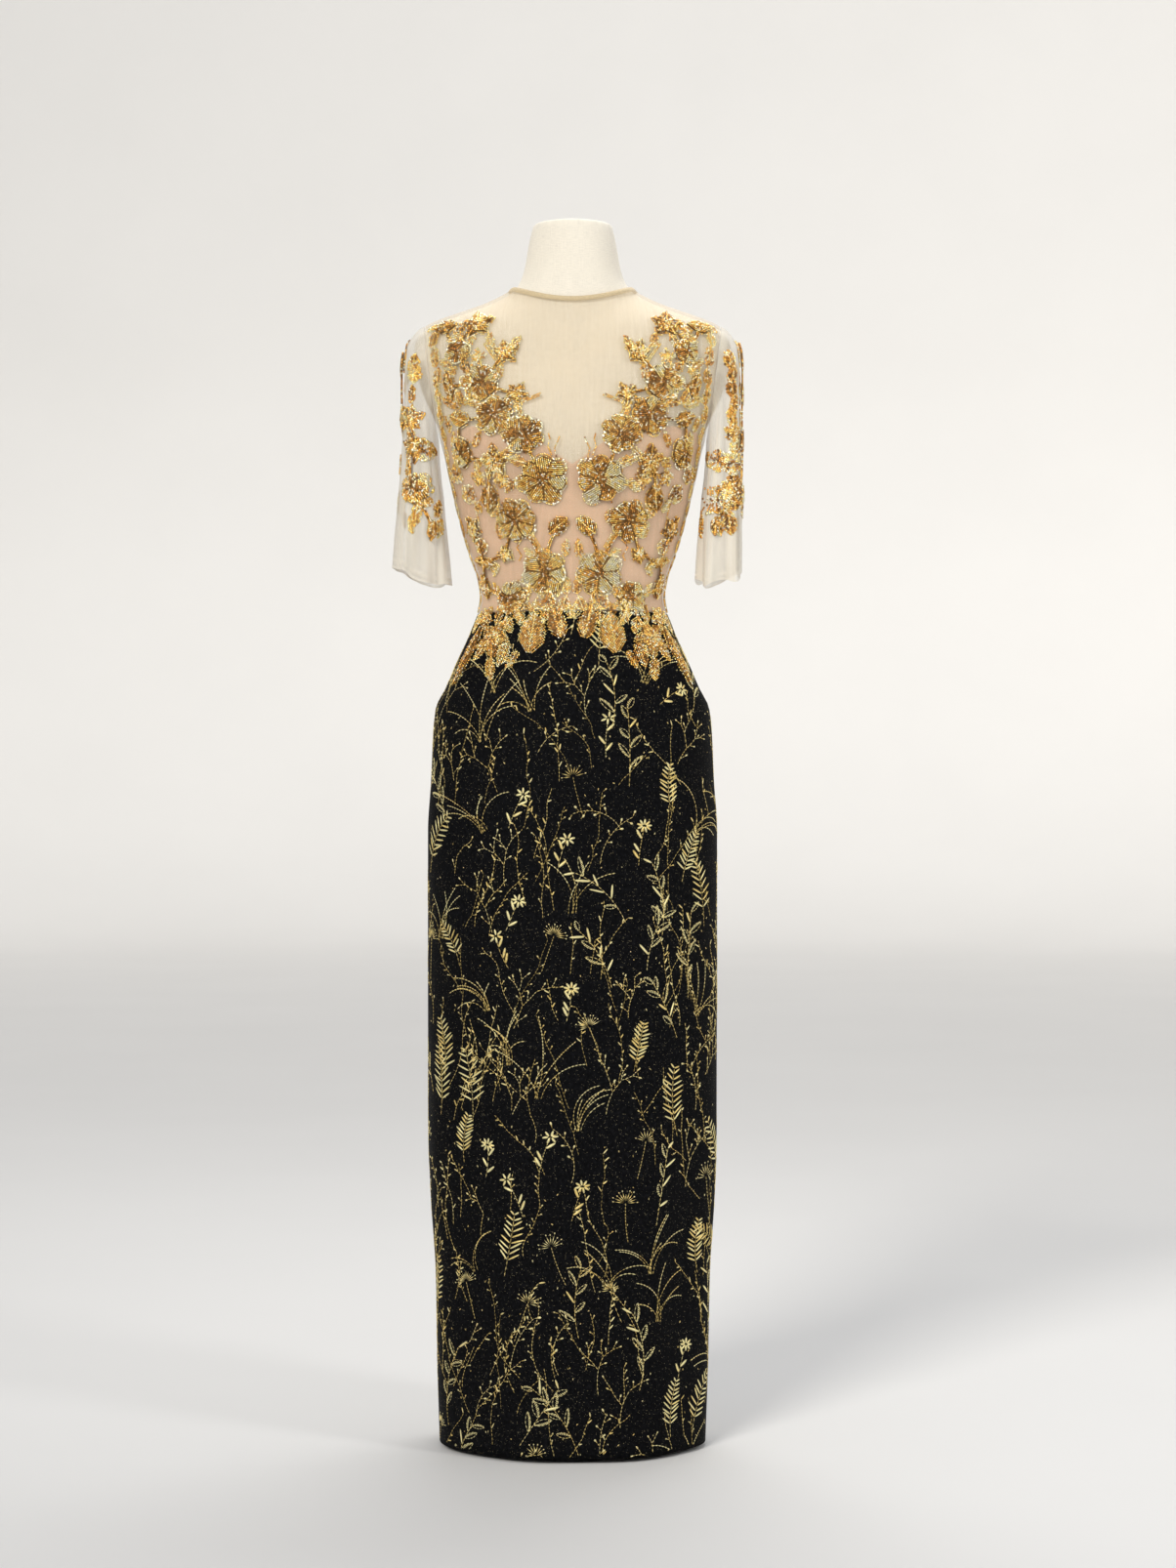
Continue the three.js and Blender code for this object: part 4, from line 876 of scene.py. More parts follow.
@functools.lru_cache(maxsize=None)
def satin_finish():
    colour = bpy.context.scene.gown_cloth.lining
    f = Finish("blush_satin", Roughness=0.5, Sheen_Weight=0.2)
    place = f.cloth_place()
    clouds = f.cloud(f.scaled(place, (18, 60, 1)), 1.0, 3)
    grain = f.threads(place, 0.0006, 0.0009)
    f.colour(f.ramp(clouds, (0.25, tint(colour, 0.9)), (0.6, colour[:3]), (0.8, tint(colour, 1.07))))
    f.roughness(f.span(clouds, 0.42, 0.6))
    f.bump(f.weighted((clouds, 1), (grain, 0.1)), 0.0006, 0.4)
    return f.material


def net_finish(name, colour, cover):
    """Fine net: its threads' share of the surface is the alpha, a little thicker where it bunches."""
    f = Finish(name, Roughness=0.7, Sheen_Weight=0.3)
    place = f.cloth_place()
    mesh = f.threads(place, 0.0014, 0.0012)
    clouds = f.cloud(f.scaled(place, (14, 9, 1)), 1.0, 3)
    pulled = f.cloud(f.scaled(place, (220, 16, 1)), 1.0, 3)
    folded = f.node("Attribute", attribute_name="fold").outputs["Fac"]
    share = f.weighted((mesh, 0.35), (clouds, 0.3), (pulled, 0.3))
    even = f.span(share, cover * 0.55, cover * 1.5, -0.1, 0.75)
    f.link(f.weighted((even, 1), (folded, 0.5)), f.shader.inputs["Alpha"])
    f.colour(f.ramp(clouds, (0.3, tint(colour, 0.93)), (0.7, tint(colour, 1.04))))
    f.bump(f.math("ADD", mesh, pulled), 0.0004, 0.3)
    return f.material


@functools.lru_cache(maxsize=None)
def skirt_finish():
    """Black puckered brocade with a few glinting specks."""
    f = Finish("black_cloque", Roughness=0.6, Specular_IOR_Level=0.03)
    place = f.cloth_place()
    pucker = f.cloud(f.scaled(place, (260, 190, 1)), 1.0, 4, 0.6)
    twill = f.threads(place, 0.0016, 0.0012)
    specks = f.node("TexVoronoi", f.scaled(place, (640, 640, 1)), Scale=1.0)
    small = f.math("LESS_THAN", specks.outputs["Distance"], 0.2)
    shown = f.math("GREATER_THAN", f.cloud(place, 300, 2), 0.56)
    dark = f.ramp(
        pucker,
        (0.3, (0.0016, 0.0017, 0.002)),
        (0.55, (0.0045, 0.0047, 0.0055)),
        (0.8, (0.013, 0.013, 0.0145)),
    )
    f.colour(f.mixed(f.math("MULTIPLY", small, shown), dark, (0.30, 0.26, 0.16, 1)))
    f.roughness(f.span(pucker, 0.5, 0.75))
    f.bump(f.weighted((pucker, 1), (twill, 0.08)), 0.0012, 0.7)
    return f.material


@functools.lru_cache(maxsize=None)
def plant_finish():
    """Metallic weft floats: pale gold, broken by fine noise into darker dashes, with a painted highlight at
    the palest stop.
    """
    colour = bpy.context.scene.gown_cloth.plants
    f = Finish("woven_gold", Metallic=0.55, Roughness=0.35)
    place = f.object_place()
    dashes_and_glints = f.cloud(place, 420, 3, 0.7)
    worn = f.cloud(place, 45, 3)
    f.colour(f.ramp(
        f.weighted((f.tone(), 0.4), (dashes_and_glints, 0.4), (worn, 0.2)),
        (0.28, tint(colour, 0.12)),
        (0.39, tint(colour, 0.5)),
        (0.48, colour[:3]),
        # Palest stop: painted highlight on the metallic threads.
        (0.62, (1.0, 0.89, 0.46)),
    ))
    f.roughness(f.span(dashes_and_glints, 0.25, 0.55))
    f.bump(dashes_and_glints, 0.0005, 0.6)
    return f.material


@functools.lru_cache(maxsize=None)
def thread_finish():
    """Gold embroidery thread under the beads, darkened to brown as painted shade in the gaps between the bead
    rows.
    """
    f = Finish("gold_embroidery", Metallic=0.35, Roughness=0.5)
    place = f.object_place()
    stitches = f.cloud(f.scaled(place, (1400, 1400, 500)), 1.0, 3, 0.6)
    patches = f.cloud(place, 70, 2)
    f.colour(f.ramp(
        # Dark browns in place of the thread's gold: painted shade between the beads.
        f.weighted((stitches, 0.6), (patches, 0.4)),
        (0.3, (0.06, 0.028, 0.008)),
        (0.5, (0.20, 0.10, 0.025)),
        (0.7, (0.40, 0.24, 0.07)),
    ))
    f.bump(stitches, 0.0005, 0.8)
    return f.material


@functools.lru_cache(maxsize=None)
def bead_finish():
    """Foil-lined glass: each bead's tone runs from dark amber over gold to a silvery yellow, and the
    near-white end colours the painted glints.
    """
    amber = bpy.context.scene.gown_beads.amber
    pale = bpy.context.scene.gown_beads.pale
    f = Finish("amber_beads", Metallic=0.75, Roughness=0.2, Coat_Weight=0.6, Coat_Roughness=0.05)
    swirl = f.cloud(f.object_place(), 700, 2)
    f.colour(f.ramp(
        f.weighted((f.tone(), 1), (f.math("SUBTRACT", swirl, 0.5), 0.3)),
        (0.0, tint(amber, 0.3)),
        (0.2, amber[:3]),
        (0.42, (0.96, 0.57, 0.10)),
        (0.6, (1.0, 0.79, 0.25)),
        (0.78, pale[:3]),
        # Near-white: colour of the painted glints.
        (1.0, (1.0, 0.98, 0.84)),
    ))
    f.roughness(f.span(swirl, 0.1, 0.34))
    return f.material


@functools.lru_cache(maxsize=None)
def steel_finish():
    f = Finish("black_steel", Metallic=0.3, Roughness=0.4)
    place = f.object_place()
    haze = f.cloud(place, 60, 4)
    f.colour(f.ramp(haze, (0.3, (0.018, 0.018, 0.019)), (0.7, (0.035, 0.035, 0.037))))
    f.roughness(f.span(haze, 0.3, 0.55))
    f.bump(f.cloud(place, 1500, 2), 0.0002, 0.3)
    return f.material


@functools.lru_cache(maxsize=None)
def tape_finish():
    """Zip tape: nude over the bodice and black over the skirt."""
    f = Finish("zip_tape", Roughness=0.7)
    place = f.object_place()
    parts = f.node("SeparateXYZ")
    f.link(place, parts.inputs[0])
    above = f.math("GREATER_THAN", parts.outputs[2], WAIST_SEAM * MM)
    grain = f.cloud(f.scaled(place, (900, 900, 260)), 1.0, 3)
    black = f.ramp(grain, (0.3, (0.006, 0.006, 0.007)), (0.7, (0.02, 0.02, 0.022)))
    nude = f.ramp(grain, (0.3, (0.55, 0.42, 0.27)), (0.7, (0.68, 0.54, 0.36)))
    f.colour(f.mixed(above, black, nude))
    f.bump(grain, 0.0004, 0.6)
    return f.material


# Meshes.


def smooth(bm):
    for face in bm.faces:
        face.smooth = True


def mesh_from(bm, name):
    mesh = bpy.data.meshes.new(name)
    bm.to_mesh(mesh)
    bm.free()
    return mesh


def join_meshes(meshes):
    """One bmesh of several meshes, which are used up."""
    bm = bmesh.new()
    for mesh in meshes:
        bm.from_mesh(mesh)
        bpy.data.meshes.remove(mesh)
    return bm


def piece_from(bm, name, finish, slot, *replaced):
    """Makes a piece of the object from a bmesh in metres, riding on the one body."""
    mesh = mesh_from(bm, name)
    mesh.materials.append(finish)
    obj = bpy.data.objects.new(name, mesh)
    bpy.context.scene.collection.objects.link(obj)
    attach(obj, BODY)
    if replaced:
        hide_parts(*replaced)
    return obj


def cloth(columns, rows, place):
    """A grid laid on a cloth face.

    place(across, up) gives a point and its run along the cloth in millimetres, and for net how folded it is.
    """
    bm = bmesh.new()
    uv = bm.loops.layers.uv.new("UVMap")
    fold = bm.verts.layers.float.new("fold")
    bmesh.ops.create_grid(bm, x_segments=columns, y_segments=rows, size=1)
    runs = {}
    for v in bm.verts:
        point, run, *rest = place((v.co.x + 1) / 2, (v.co.y + 1) / 2)
        runs[v] = (run[0] * MM, run[1] * MM)
        v.co = point * MM
        v[fold] = rest[0] if rest else 0.0
    for face in bm.faces:
        face.smooth = True
        for loop in face.loops:
            loop[uv].uv = runs[loop.vert]
    return bm


def run_at(kind, z, turn):
    """Distance round the figure from centre front, steady enough up the cloth for a weave."""
    length = quarter(kind, round(z, 3), abs(turn) <= 1)[2][-1]
    return turn * length


def shape_points(shape):
    flat = np.empty(len(shape.vertices) * 3, np.float32)
    shape.vertices.foreach_get("co", flat)
    return flat.reshape(-1, 3)


def shape_faces(shape):
    return [list(p.vertices) for p in shape.polygons]


def copies(shape, places, tones):
    """One small shape at many places, as one mesh with a tone on every point."""
    points = np.c_[shape_points(shape), np.ones(len(shape.vertices))]
    matrices = np.array([[list(row) for row in m] for m in places])
    moved = np.einsum("nij,kj->nki", matrices, points)[:, :, :3]
    return points_to_mesh(moved, shape_faces(shape), tones)


def points_to_mesh(moved, faces, tones):
    """A mesh of many moved copies of the same faces."""
    total, count = moved.shape[0], moved.shape[1]
    sizes = np.array([len(f) for f in faces])
    loops = np.concatenate([np.array(f) for f in faces])
    starts = np.concatenate([[0], np.cumsum(sizes)[:-1]])
    copy = np.arange(total)[:, None]
    corners = (loops[None, :] + copy * count).astype(np.int32)
    first_corners = (starts[None, :] + copy * len(loops)).astype(np.int32)
    mesh = bpy.data.meshes.new("copies")
    mesh.vertices.add(total * count)
    mesh.vertices.foreach_set("co", moved.astype(np.float32).ravel())
    mesh.loops.add(total * len(loops))
    mesh.loops.foreach_set("vertex_index", corners.ravel())
    mesh.polygons.add(total * len(faces))
    mesh.polygons.foreach_set("loop_start", first_corners.ravel())
    mesh.update(calc_edges=True)
    tone = mesh.attributes.new("tone", "FLOAT", "POINT")
    tone.data.foreach_set("value", np.repeat(np.array(tones, np.float32), count))
    return mesh


def small_shape(name, build):
    bm = bmesh.new()
    build(bm)
    return mesh_from(bm, name)


def lie_along_x(bm):
    bmesh.ops.rotate(bm, verts=bm.verts, cent=(0, 0, 0), matrix=Matrix.Rotation(math.pi / 2, 3, "Y"))


def build_bead(bm):
    """A bead about one long and one thick, lying along X: a short faceted tube with narrow ends."""
    bmesh.ops.create_uvsphere(bm, u_segments=5, v_segments=3, radius=0.5)
    lie_along_x(bm)
    for v in bm.verts:
        v.co.x = math.copysign(abs(2 * v.co.x) ** 0.6 / 2, v.co.x)
        v.co.yz *= 1.2


def build_sequin(bm):
    """A thin round disc one across, lying flat."""
    bmesh.ops.create_cone(bm, cap_ends=True, segments=6, radius1=0.5, radius2=0.44, depth=0.12)


def build_spindle(sections):
    """A pointed shape one long, one wide and one high, with a ridge along it."""
    def build(bm):
        bmesh.ops.create_uvsphere(bm, u_segments=4, v_segments=sections, radius=0.5)
        lie_along_x(bm)
        bmesh.ops.triangulate(bm, faces=bm.faces)
    return build


# Beads of one motif, in its flat drawing.


def bead(across, up, angle, tone, kind="bead"):
    return across, up, angle, tone, kind


def flower_beads(rng, radius, petals, spin):
    """Petals of parallel rows, each with its own slant, round a raised heart."""
    made = []
    step = 2 * math.pi / petals
    hue = rng.uniform(-0.06, 0.06)
    swell = [rng.uniform(0.92, 1.1) for _ in range(petals)]

    def reach(angle, k):
        phase = ((angle - spin) / step) % 1
        return radius * (0.82 + (0.24 - 0.08 * (k % 2)) * math.sin(math.pi * phase) ** 0.7) * swell[k]

    for k in range(petals):
        middle = spin + (k + 0.5) * step
        shade = rng.choice((-0.2, -0.08, 0.06, 0.3)) + hue
        grain = middle + rng.uniform(-0.75, 0.75)
        half = int(radius * 1.2 / ROW) + 1
        for row in range(-half, half + 1):
            for place in range(-half, half + 1):
                aside = row * ROW
                along = (place + 0.5 * (row % 2)) * BEAD
                a = along * math.cos(grain) - aside * math.sin(grain)
                b = along * math.sin(grain) + aside * math.cos(grain)
                far = math.hypot(a, b)
                apart = (math.atan2(b, a) - middle + math.pi) % (2 * math.pi) - math.pi
                if abs(apart) > step / 2 or far < 0.2 * radius or far > reach(middle + apart, k) - 2.2:
                    continue
                if (step / 2 - abs(apart)) * far < 0.9:
                    continue
                tone = 0.22 + 0.34 * far / radius + shade + rng.gauss(0, 0.1)
                made.append(bead(a, b, grain, tone))
        count = max(3, round(radius * step / BEAD))
        sparkling = rng.random() < 0.45
        for i in range(count):
            angle = middle + step * ((i + 0.5) / count - 0.5)
            far = reach(angle, k) - 0.5
            kind = "sequin" if sparkling and i % 2 == 0 else "bead"
            tone = rng.uniform(0.86, 1.0) if kind == "sequin" else 0.56 + 0.6 * shade + rng.gauss(0, 0.12)
            turned = angle + rng.uniform(-0.3, 0.3)
            made.append(bead(far * math.cos(angle), far * math.sin(angle), turned, tone, kind))
    far = 0.0
    while far < 0.22 * radius:
        count = max(1, int(2 * math.pi * far / 2.3))
        for i in range(count):
            angle = 2 * math.pi * (i + rng.random() * 0.5) / count
            tone = 0.16 + rng.gauss(0, 0.1)
            made.append(bead(far * math.cos(angle), far * math.sin(angle), angle, tone, "seed"))
        far += 2.2
    return made


def leaf_beads(rng, length, width, angle, middle=(0, 0), shade=0.0):
    """Herringbone rows from a midrib, or two plain rows where the leaf is narrow."""
    made = []
    side_angle = math.radians(40)
    hue = 0.36 + shade + rng.uniform(-0.16, 0.2)

    def half_width(t):
        return 0.56 * width * max(0.0, 1 - (2 * t + 0.15) ** 2 * (1 if t < -0.075 else 0.85)) ** 0.6

    def put(along, aside, turned, tone):
        a = along * math.cos(angle) - aside * math.sin(angle)
        b = along * math.sin(angle) + aside * math.cos(angle)
        made.append(bead(middle[0] + a, middle[1] + b, angle + turned, tone))

    along = -0.5 * length + 1
    if width < NARROW_LEAF:
        while along < 0.5 * length:
            for side in (-1, 1):
                put(along, side * 1.25, 0, hue + 0.15 + rng.gauss(0, 0.08))
            along += BEAD
        return made
    while along < 0.5 * length:
        put(along, 0, 0, hue + 0.24 + rng.gauss(0, 0.06))
        along += BEAD
    spread = ROW / math.sin(side_angle)
    for side in (-1, 1):
        start = -0.5 * length - 4 + (0.4 * spread if side > 0 else 0)
        while start < 0.5 * length:
            far = 2.3
            while far < width:
                along = start + far * math.cos(side_angle)
                aside = far * math.sin(side_angle)
                far += BEAD
                if abs(along) > 0.5 * length or aside > half_width(along / length) + 0.3:
                    continue
                at_edge = aside > half_width(along / length) - BEAD
                tone = hue + (0.2 if at_edge else -0.05) + rng.gauss(0, 0.1)
                put(along, side * aside, side * side_angle, tone)
            start += spread
    return made


def lobed_beads(rng, radius, lobes, angle):
    """A lobed leaf: one leaf for each lobe."""
    made = []
    shade = rng.uniform(-0.14, 0.1)
    for k in range(lobes):
        tip = angle + k * 2 * math.pi / lobes
        reach = radius * (1.14 if k == 0 else 1.06 - 0.1 * (k % 2))
        centre = (0.55 * reach * math.cos(tip), 0.55 * reach * math.sin(tip))
        made += leaf_beads(rng, 0.98 * reach, max(NARROW_LEAF + 0.1, 0.72 * radius), tip, centre, shade)
    return made


def motif_beads(rng, kind, size, other, angle):
    if kind == "flower":
        return flower_beads(rng, size, other, angle)
    if kind == "leaf":
        return leaf_beads(rng, size, other, angle)
    return lobed_beads(rng, size, other, angle)


class Spot:
    """A place on a face, with flat axes across and up."""

    def __init__(self, surface, u, v, steps):
        self.u, self.v = u, v
        self.origin = surface(u, v)
        self.normal = normal_of(surface, u, v, steps)
        self.across = Vector((0, 0, 1)).cross(self.normal).normalized()
        self.up = self.normal.cross(self.across)


def gown_place(level, turn):
    return Spot(gown_point, level, turn, FORM_STEPS)


def sleeve_place(surface, row, angle):
    return Spot(surface, row, angle, SLEEVE_STEPS)


@functools.lru_cache(maxsize=None)
def gown_turn(x, z, in_front):
    """The level and turn of the gown's face at this distance from the centre line and height."""
    level, share = z, 0.5
    for _ in range(4):
        low, high = 0.0, 1.0
        for _ in range(16):
            share = (low + high) / 2
            if gown_point(level, share if in_front else 2 - share).x < x:
                low = share
            else:
                high = share
        level += z - gown_point(level, share if in_front else 2 - share).z
    return level, share if in_front else 2 - share


def gown_spot(x, z, in_front):
    level, turn = gown_turn(abs(x), z, in_front)
    return gown_place(level, -turn if x < 0 else turn)


def sleeve_spot(surface, sign, x, z):
    """The place on a sleeve's front at this distance from the centre line and height."""
    row = 5.0
    for _ in range(12):
        low, high = 0.0, math.pi
        for _ in range(14):
            middle = (low + high) / 2
            if sign * surface(row, sign * middle).x > x:
                low = middle
            else:
                high = middle
        row = min(8.6, max(1.0, row + (surface(row, sign * low).z - z) / 42))
    return sleeve_place(surface, row, sign * low)


def tree_of(*objects):
    """A search tree of the shown faces of several objects."""
    depsgraph = bpy.context.evaluated_depsgraph_get()
    points, faces = [], []
    for obj in objects:
        mesh = obj.evaluated_get(depsgraph).to_mesh()
        start = len(points)
        points += [v.co.copy() for v in mesh.vertices]
        faces += [[start + i for i in p.vertices] for p in mesh.polygons]
    return BVHTree.FromPolygons(points, faces)


class Beadwork:
    """Gathers beads on faces, then makes one piece of them."""

    def __init__(self, tree, seed, swell=1.0, shade=0.0):
        self.tree = tree
        self.rng = random.Random(seed)
        self.swell = swell
        self.shade = shade
        self.places = {kind: [] for kind in BEAD_SIZES}
        self.tones = {kind: [] for kind in BEAD_SIZES}

    def shake(self, spread):
        return Vector((self.rng.gauss(0, spread), self.rng.gauss(0, spread), self.rng.gauss(0, spread)))

    def drop(self, origin, normal, direction, tone, kind):
        """Sets one bead where a line along the normal meets the cloth or the embroidery."""
        start = (origin + normal * 14) * MM
        hit, face_normal, _, _ = self.tree.ray_cast(start, -normal, 0.05)
        if hit is None:
            return
        if face_normal.dot(normal) < 0:
            face_normal = -face_normal
        rng = self.rng
        tone += self.shade
        # A share of the beads take near-white tones as painted glints.
        glint = rng.random()
        if glint < PAINTED_GLINT_SHARE:
            tone = rng.uniform(0.76, 1.0)
        elif glint > 1 - DARKENED:
            tone -= 0.26
        up = (face_normal * 0.6 + normal * 0.4 + self.shake(0.09)).normalized()
        if kind == "sequin":
            up = (up + self.shake(0.28)).normalized()
        along = (direction - up * direction.dot(up)).normalized()
        across = up.cross(along)
        long, thick, lift = BEAD_SIZES[kind]
        long *= rng.uniform(0.88, 1.12) * self.swell
        thick = long if kind == "sequin" else thick * self.swell
        at = hit + up * lift * MM
        rows = [(along[i] * long * MM, across[i] * thick * MM, up[i] * thick * MM, at[i]) for i in range(3)]
        self.places[kind].append(Matrix((*rows, (0, 0, 0, 1))))
        self.tones[kind].append(min(1.0, max(0.0, tone)))

    def motif(self, spot, kind, size, other, degrees, mirrored):
        angle = math.radians(180 - degrees if mirrored else degrees)
        for a, b, turned, tone, what in motif_beads(self.rng, kind, size, other, angle):
            direction = spot.across * math.cos(turned) + spot.up * math.sin(turned)
            self.drop(spot.origin + spot.across * a + spot.up * b, spot.normal, direction, tone, what)

    def stem(self, make_spot, start, end, bow, first, last, rows=2):
        """Rows of beads from one spot to another, left out over a length at each end."""
        length = (end.origin - start.origin).length
        if length < 1:
            return
        steps = max(2, int(length / BEAD))
        shade = self.rng.uniform(0.25, 0.5)
        path = []
        for i in range(steps + 1):
            t = i / steps
            spot = make_spot(start.u + (end.u - start.u) * t, start.v + (end.v - start.v) * t)
            path.append((t, spot))
        for (t, spot), (_, after) in zip(path, path[1:]):
            if t * length < first or (1 - t) * length < last:
                continue
            run = after.origin - spot.origin
            if run.length < 1e-6:
                continue
            forward = run.normalized()
            side = spot.normal.cross(forward)
            for row in range(rows):
                aside = bow * 4 * t * (1 - t) + (row - (rows - 1) / 2) * 2.1
                tone = shade + self.rng.gauss(0, 0.1)
                self.drop(spot.origin + side * aside, spot.normal, forward, tone, "bead")

    def finish(self, name):
        bm = join_meshes([
            copies(SHAPES[kind], places, self.tones[kind]) for kind, places in self.places.items() if places
        ])
        smooth(bm)
        return piece_from(bm, name, bead_finish(), "beadwork")


SHAPES = {
    "bead": small_shape("bead", build_bead),
    "seed": small_shape("seed", build_bead),
    "sequin": small_shape("sequin", build_sequin),
    "stitch": small_shape("stitch", build_spindle(2)),
    "leaf": small_shape("leaf", build_spindle(4)),
    "dot": small_shape("dot", build_spindle(3)),
}


# Woven plants of the skirt, drawn flat: each mark is (kind, across, up, angle, length, width, tone).


def beyond(at, angle, far):
    """The point at a distance from another, in the direction of an angle."""
    return at[0] + math.cos(angle) * far, at[1] + math.sin(angle) * far


def line(marks, points, width, tone, pitch=5.0, fill=1.0235):
    """Stitches through points, about a pitch apart; fill is a stitch's length as a share of that."""
    for (x0, y0), (x1, y1) in zip(points, points[1:]):
        length = math.hypot(x1 - x0, y1 - y0)
        count = max(1, round(length / pitch))
        angle = math.atan2(y1 - y0, x1 - x0)
        for i in range(count):
            t = (i + 0.5) / count
            x, y = x0 + (x1 - x0) * t, y0 + (y1 - y0) * t
            marks.append(("stitch", x, y, angle, length / count * fill, width, tone))


def arc(start, heading, length, bend, steps=6):
    """Points along a line that turns by bend radians over its length."""
    points = [start]
    for i in range(steps):
        angle = heading + bend * (i + 0.5) / steps
        points.append(beyond(points[-1], angle, length / steps))
    return points


def heading_at(points, i):
    (x0, y0), (x1, y1) = points[max(0, i - 1)], points[min(len(points) - 1, i + 1)]
    return math.atan2(y1 - y0, x1 - x0)


UP = math.pi / 2


def leaf_mark(marks, at, angle, long, wide, tone):
    marks.append(("leaf", *beyond(at, angle, long * 0.52), angle, long, wide, tone))


def veined_leaf(marks, at, angle, long, wide, tone):
    """A slender leaf: its outline and slanting threads across one half."""
    def spot(share, aside):
        along = share * long
        return (
            at[0] + along * math.cos(angle) - aside * math.sin(angle),
            at[1] + along * math.sin(angle) + aside * math.cos(angle),
        )

    def half(share):
        return 0.5 * wide * math.sin(math.pi * share) ** 0.85

    shares = (0, 0.16, 0.36, 0.58, 0.8, 1)
    for side in (-1, 1):
        line(marks, [spot(t, side * half(t)) for t in shares], 1.05, tone)
    count = max(4, int(long / 2.2))
    for i in range(1, count):
        share = i / count
        inner = spot(share - 0.06, 0)
        outer = spot(share + 0.06, half(share))
        middle = ((inner[0] + outer[0]) / 2, (inner[1] + outer[1]) / 2)
        slant = math.atan2(outer[1] - inner[1], outer[0] - inner[0])
        marks.append(("stitch", *middle, slant, math.dist(inner, outer), 1.5, tone + 0.2))


def fern(rng, size):
    """Pairs of small leaves along a bent rib, longest in the middle."""
    marks = []
    pairs = rng.randint(7, 9)
    points = arc((0, -size / 2), UP + rng.uniform(-0.2, 0.2), size, rng.uniform(-0.7, 0.7), pairs + 3)
    line(marks, points, 1.0, 0.45)
    for i in range(3, len(points)):
        share = i / (len(points) - 1)
        long = size * 0.22 * math.sin(math.pi * (0.16 + 0.72 * share)) + 1.5
        for side in (-1, 1):
            angle = heading_at(points, i) + side * rng.uniform(0.85, 1.15)
            leaf_mark(marks, points[i], angle, long * rng.uniform(0.85, 1.1), 2.4, rng.uniform(0.45, 1))
    return marks


def sprig(rng, size):
    """Willow-like leaves one after another along a bent stalk."""
    marks = []
    points = arc((0, -size / 2), UP + rng.uniform(-0.3, 0.3), size, rng.uniform(-0.8, 0.8), 8)
    line(marks, points, 1.1, 0.5)
    for i in range(2, 9):
        side = 1 if i % 2 else -1
        long = rng.uniform(17, 27) * (1 if i < 8 else 0.75)
        angle = heading_at(points, i) + side * rng.uniform(0.4, 0.95)
        if rng.random() < 0.7:
            veined_leaf(marks, points[i], angle, long, rng.uniform(5.5, 8), rng.uniform(0.65, 1))
        else:
            leaf_mark(marks, points[i], angle, long * 0.85, rng.uniform(2.6, 3.6), rng.uniform(0.55, 1))
    return marks


def grass(rng, size):
    """A tuft of arching blades."""
    marks = []
    for _ in range(rng.randint(4, 7)):
        bend = rng.choice((-1, 1)) * rng.uniform(0.5, 2.0)
        root = (rng.uniform(-5, 5), -size / 2)
        points = arc(root, UP + rng.uniform(-0.4, 0.4), size * rng.uniform(0.5, 1.1), bend, 8)
        line(marks, points[:5], 1.0, 0.4)
        line(marks, points[4:], 1.5, rng.uniform(0.5, 0.95), 4.2, 1.15)
    return marks


def twig(rng, size):
    """A forking branch with buds."""
    marks = []

    def grow(start, heading, length, depth):
        points = arc(start, heading, length, rng.uniform(-0.4, 0.4), 3)
        line(marks, points, 1.05, rng.uniform(0.35, 0.7))
        end = points[-1]
        if depth == 0:
            marks.append(("dot", *end, heading_at(points, 3), rng.uniform(2.8, 5), 2.2, rng.uniform(0.6, 1)))
            return
        for side in (-1, 1):
            if rng.random() < 0.88:
                forked = heading + side * rng.uniform(0.25, 0.65)
                grow(end, forked, length * rng.uniform(0.55, 0.85), depth - 1)
        if rng.random() < 0.6:
            grow(points[1], heading + rng.choice((-1, 1)) * 0.8, length * 0.45, 0)

    grow((0, -size / 2), UP + rng.uniform(-0.3, 0.3), size * 0.38, 3)
    return marks


def umbel(rng, size):
    """A fan of rays with buds on top of a stalk."""
    marks = []
    points = arc((0, -size / 2), UP + rng.uniform(-0.25, 0.25), size * 0.72, rng.uniform(-0.3, 0.3), 6)
    line(marks, points, 1.0, 0.45)
    heading = heading_at(points, 6)
    rays = rng.randint(9, 13)
    for i in range(rays):
        angle = heading + math.radians(-85 + 170 * i / (rays - 1))
        long = size * rng.uniform(0.16, 0.23)
        marks.append(("stitch", *beyond(points[-1], angle, long * 0.6), angle, long * 0.8, 1.1, 0.6))
        if rng.random() < 0.6:
            marks.append(("dot", *beyond(points[-1], angle, long * 1.1), angle, 2.4, 1.6, 0.8))
    return marks


def daisy(rng, size):
    """A flower of narrow petals on a stalk with three leaves."""
    marks = []
    points = arc((0, -size / 2), UP + rng.uniform(-0.3, 0.3), size * 0.75, rng.uniform(-0.5, 0.5), 6)
    line(marks, points, 1.0, 0.5)
    x, y = points[-1]
    petals = rng.randint(6, 9)
    for i in range(petals):
        angle = 2 * math.pi * i / petals + 0.2
        centre = (x + math.cos(angle) * 6.4, y + math.sin(angle) * 4.8)
        marks.append(("leaf", *centre, angle, 8, 3.0, rng.uniform(0.55, 1)))
    for i in (1, 2, 4):
        angle = heading_at(points, i) + rng.choice((-1, 1)) * 0.7
        leaf_mark(marks, points[i], angle, 14, 3.6, rng.uniform(0.5, 0.9))
    return marks


def berries(rng, size):
    """A bent stem with berries on short stalks."""
    marks = []
    heading = UP + rng.uniform(-0.5, 0.5)
    points = arc((0, -size / 2), heading, size, rng.choice((-1, 1)) * rng.uniform(0.6, 1.5), 8)
    line(marks, points, 1.0, 0.5)
    for i in range(3, 9):
        angle = heading_at(points, i) + (1 if i % 2 else -1) * rng.uniform(0.6, 1.1)
        tip = beyond(points[i], angle, rng.uniform(6, 10))
        line(marks, [points[i], tip], 0.9, 0.4)
        marks.append(("dot", *tip, angle, rng.uniform(3.2, 5), rng.uniform(2.4, 3.4), rng.uniform(0.6, 1)))
    return marks


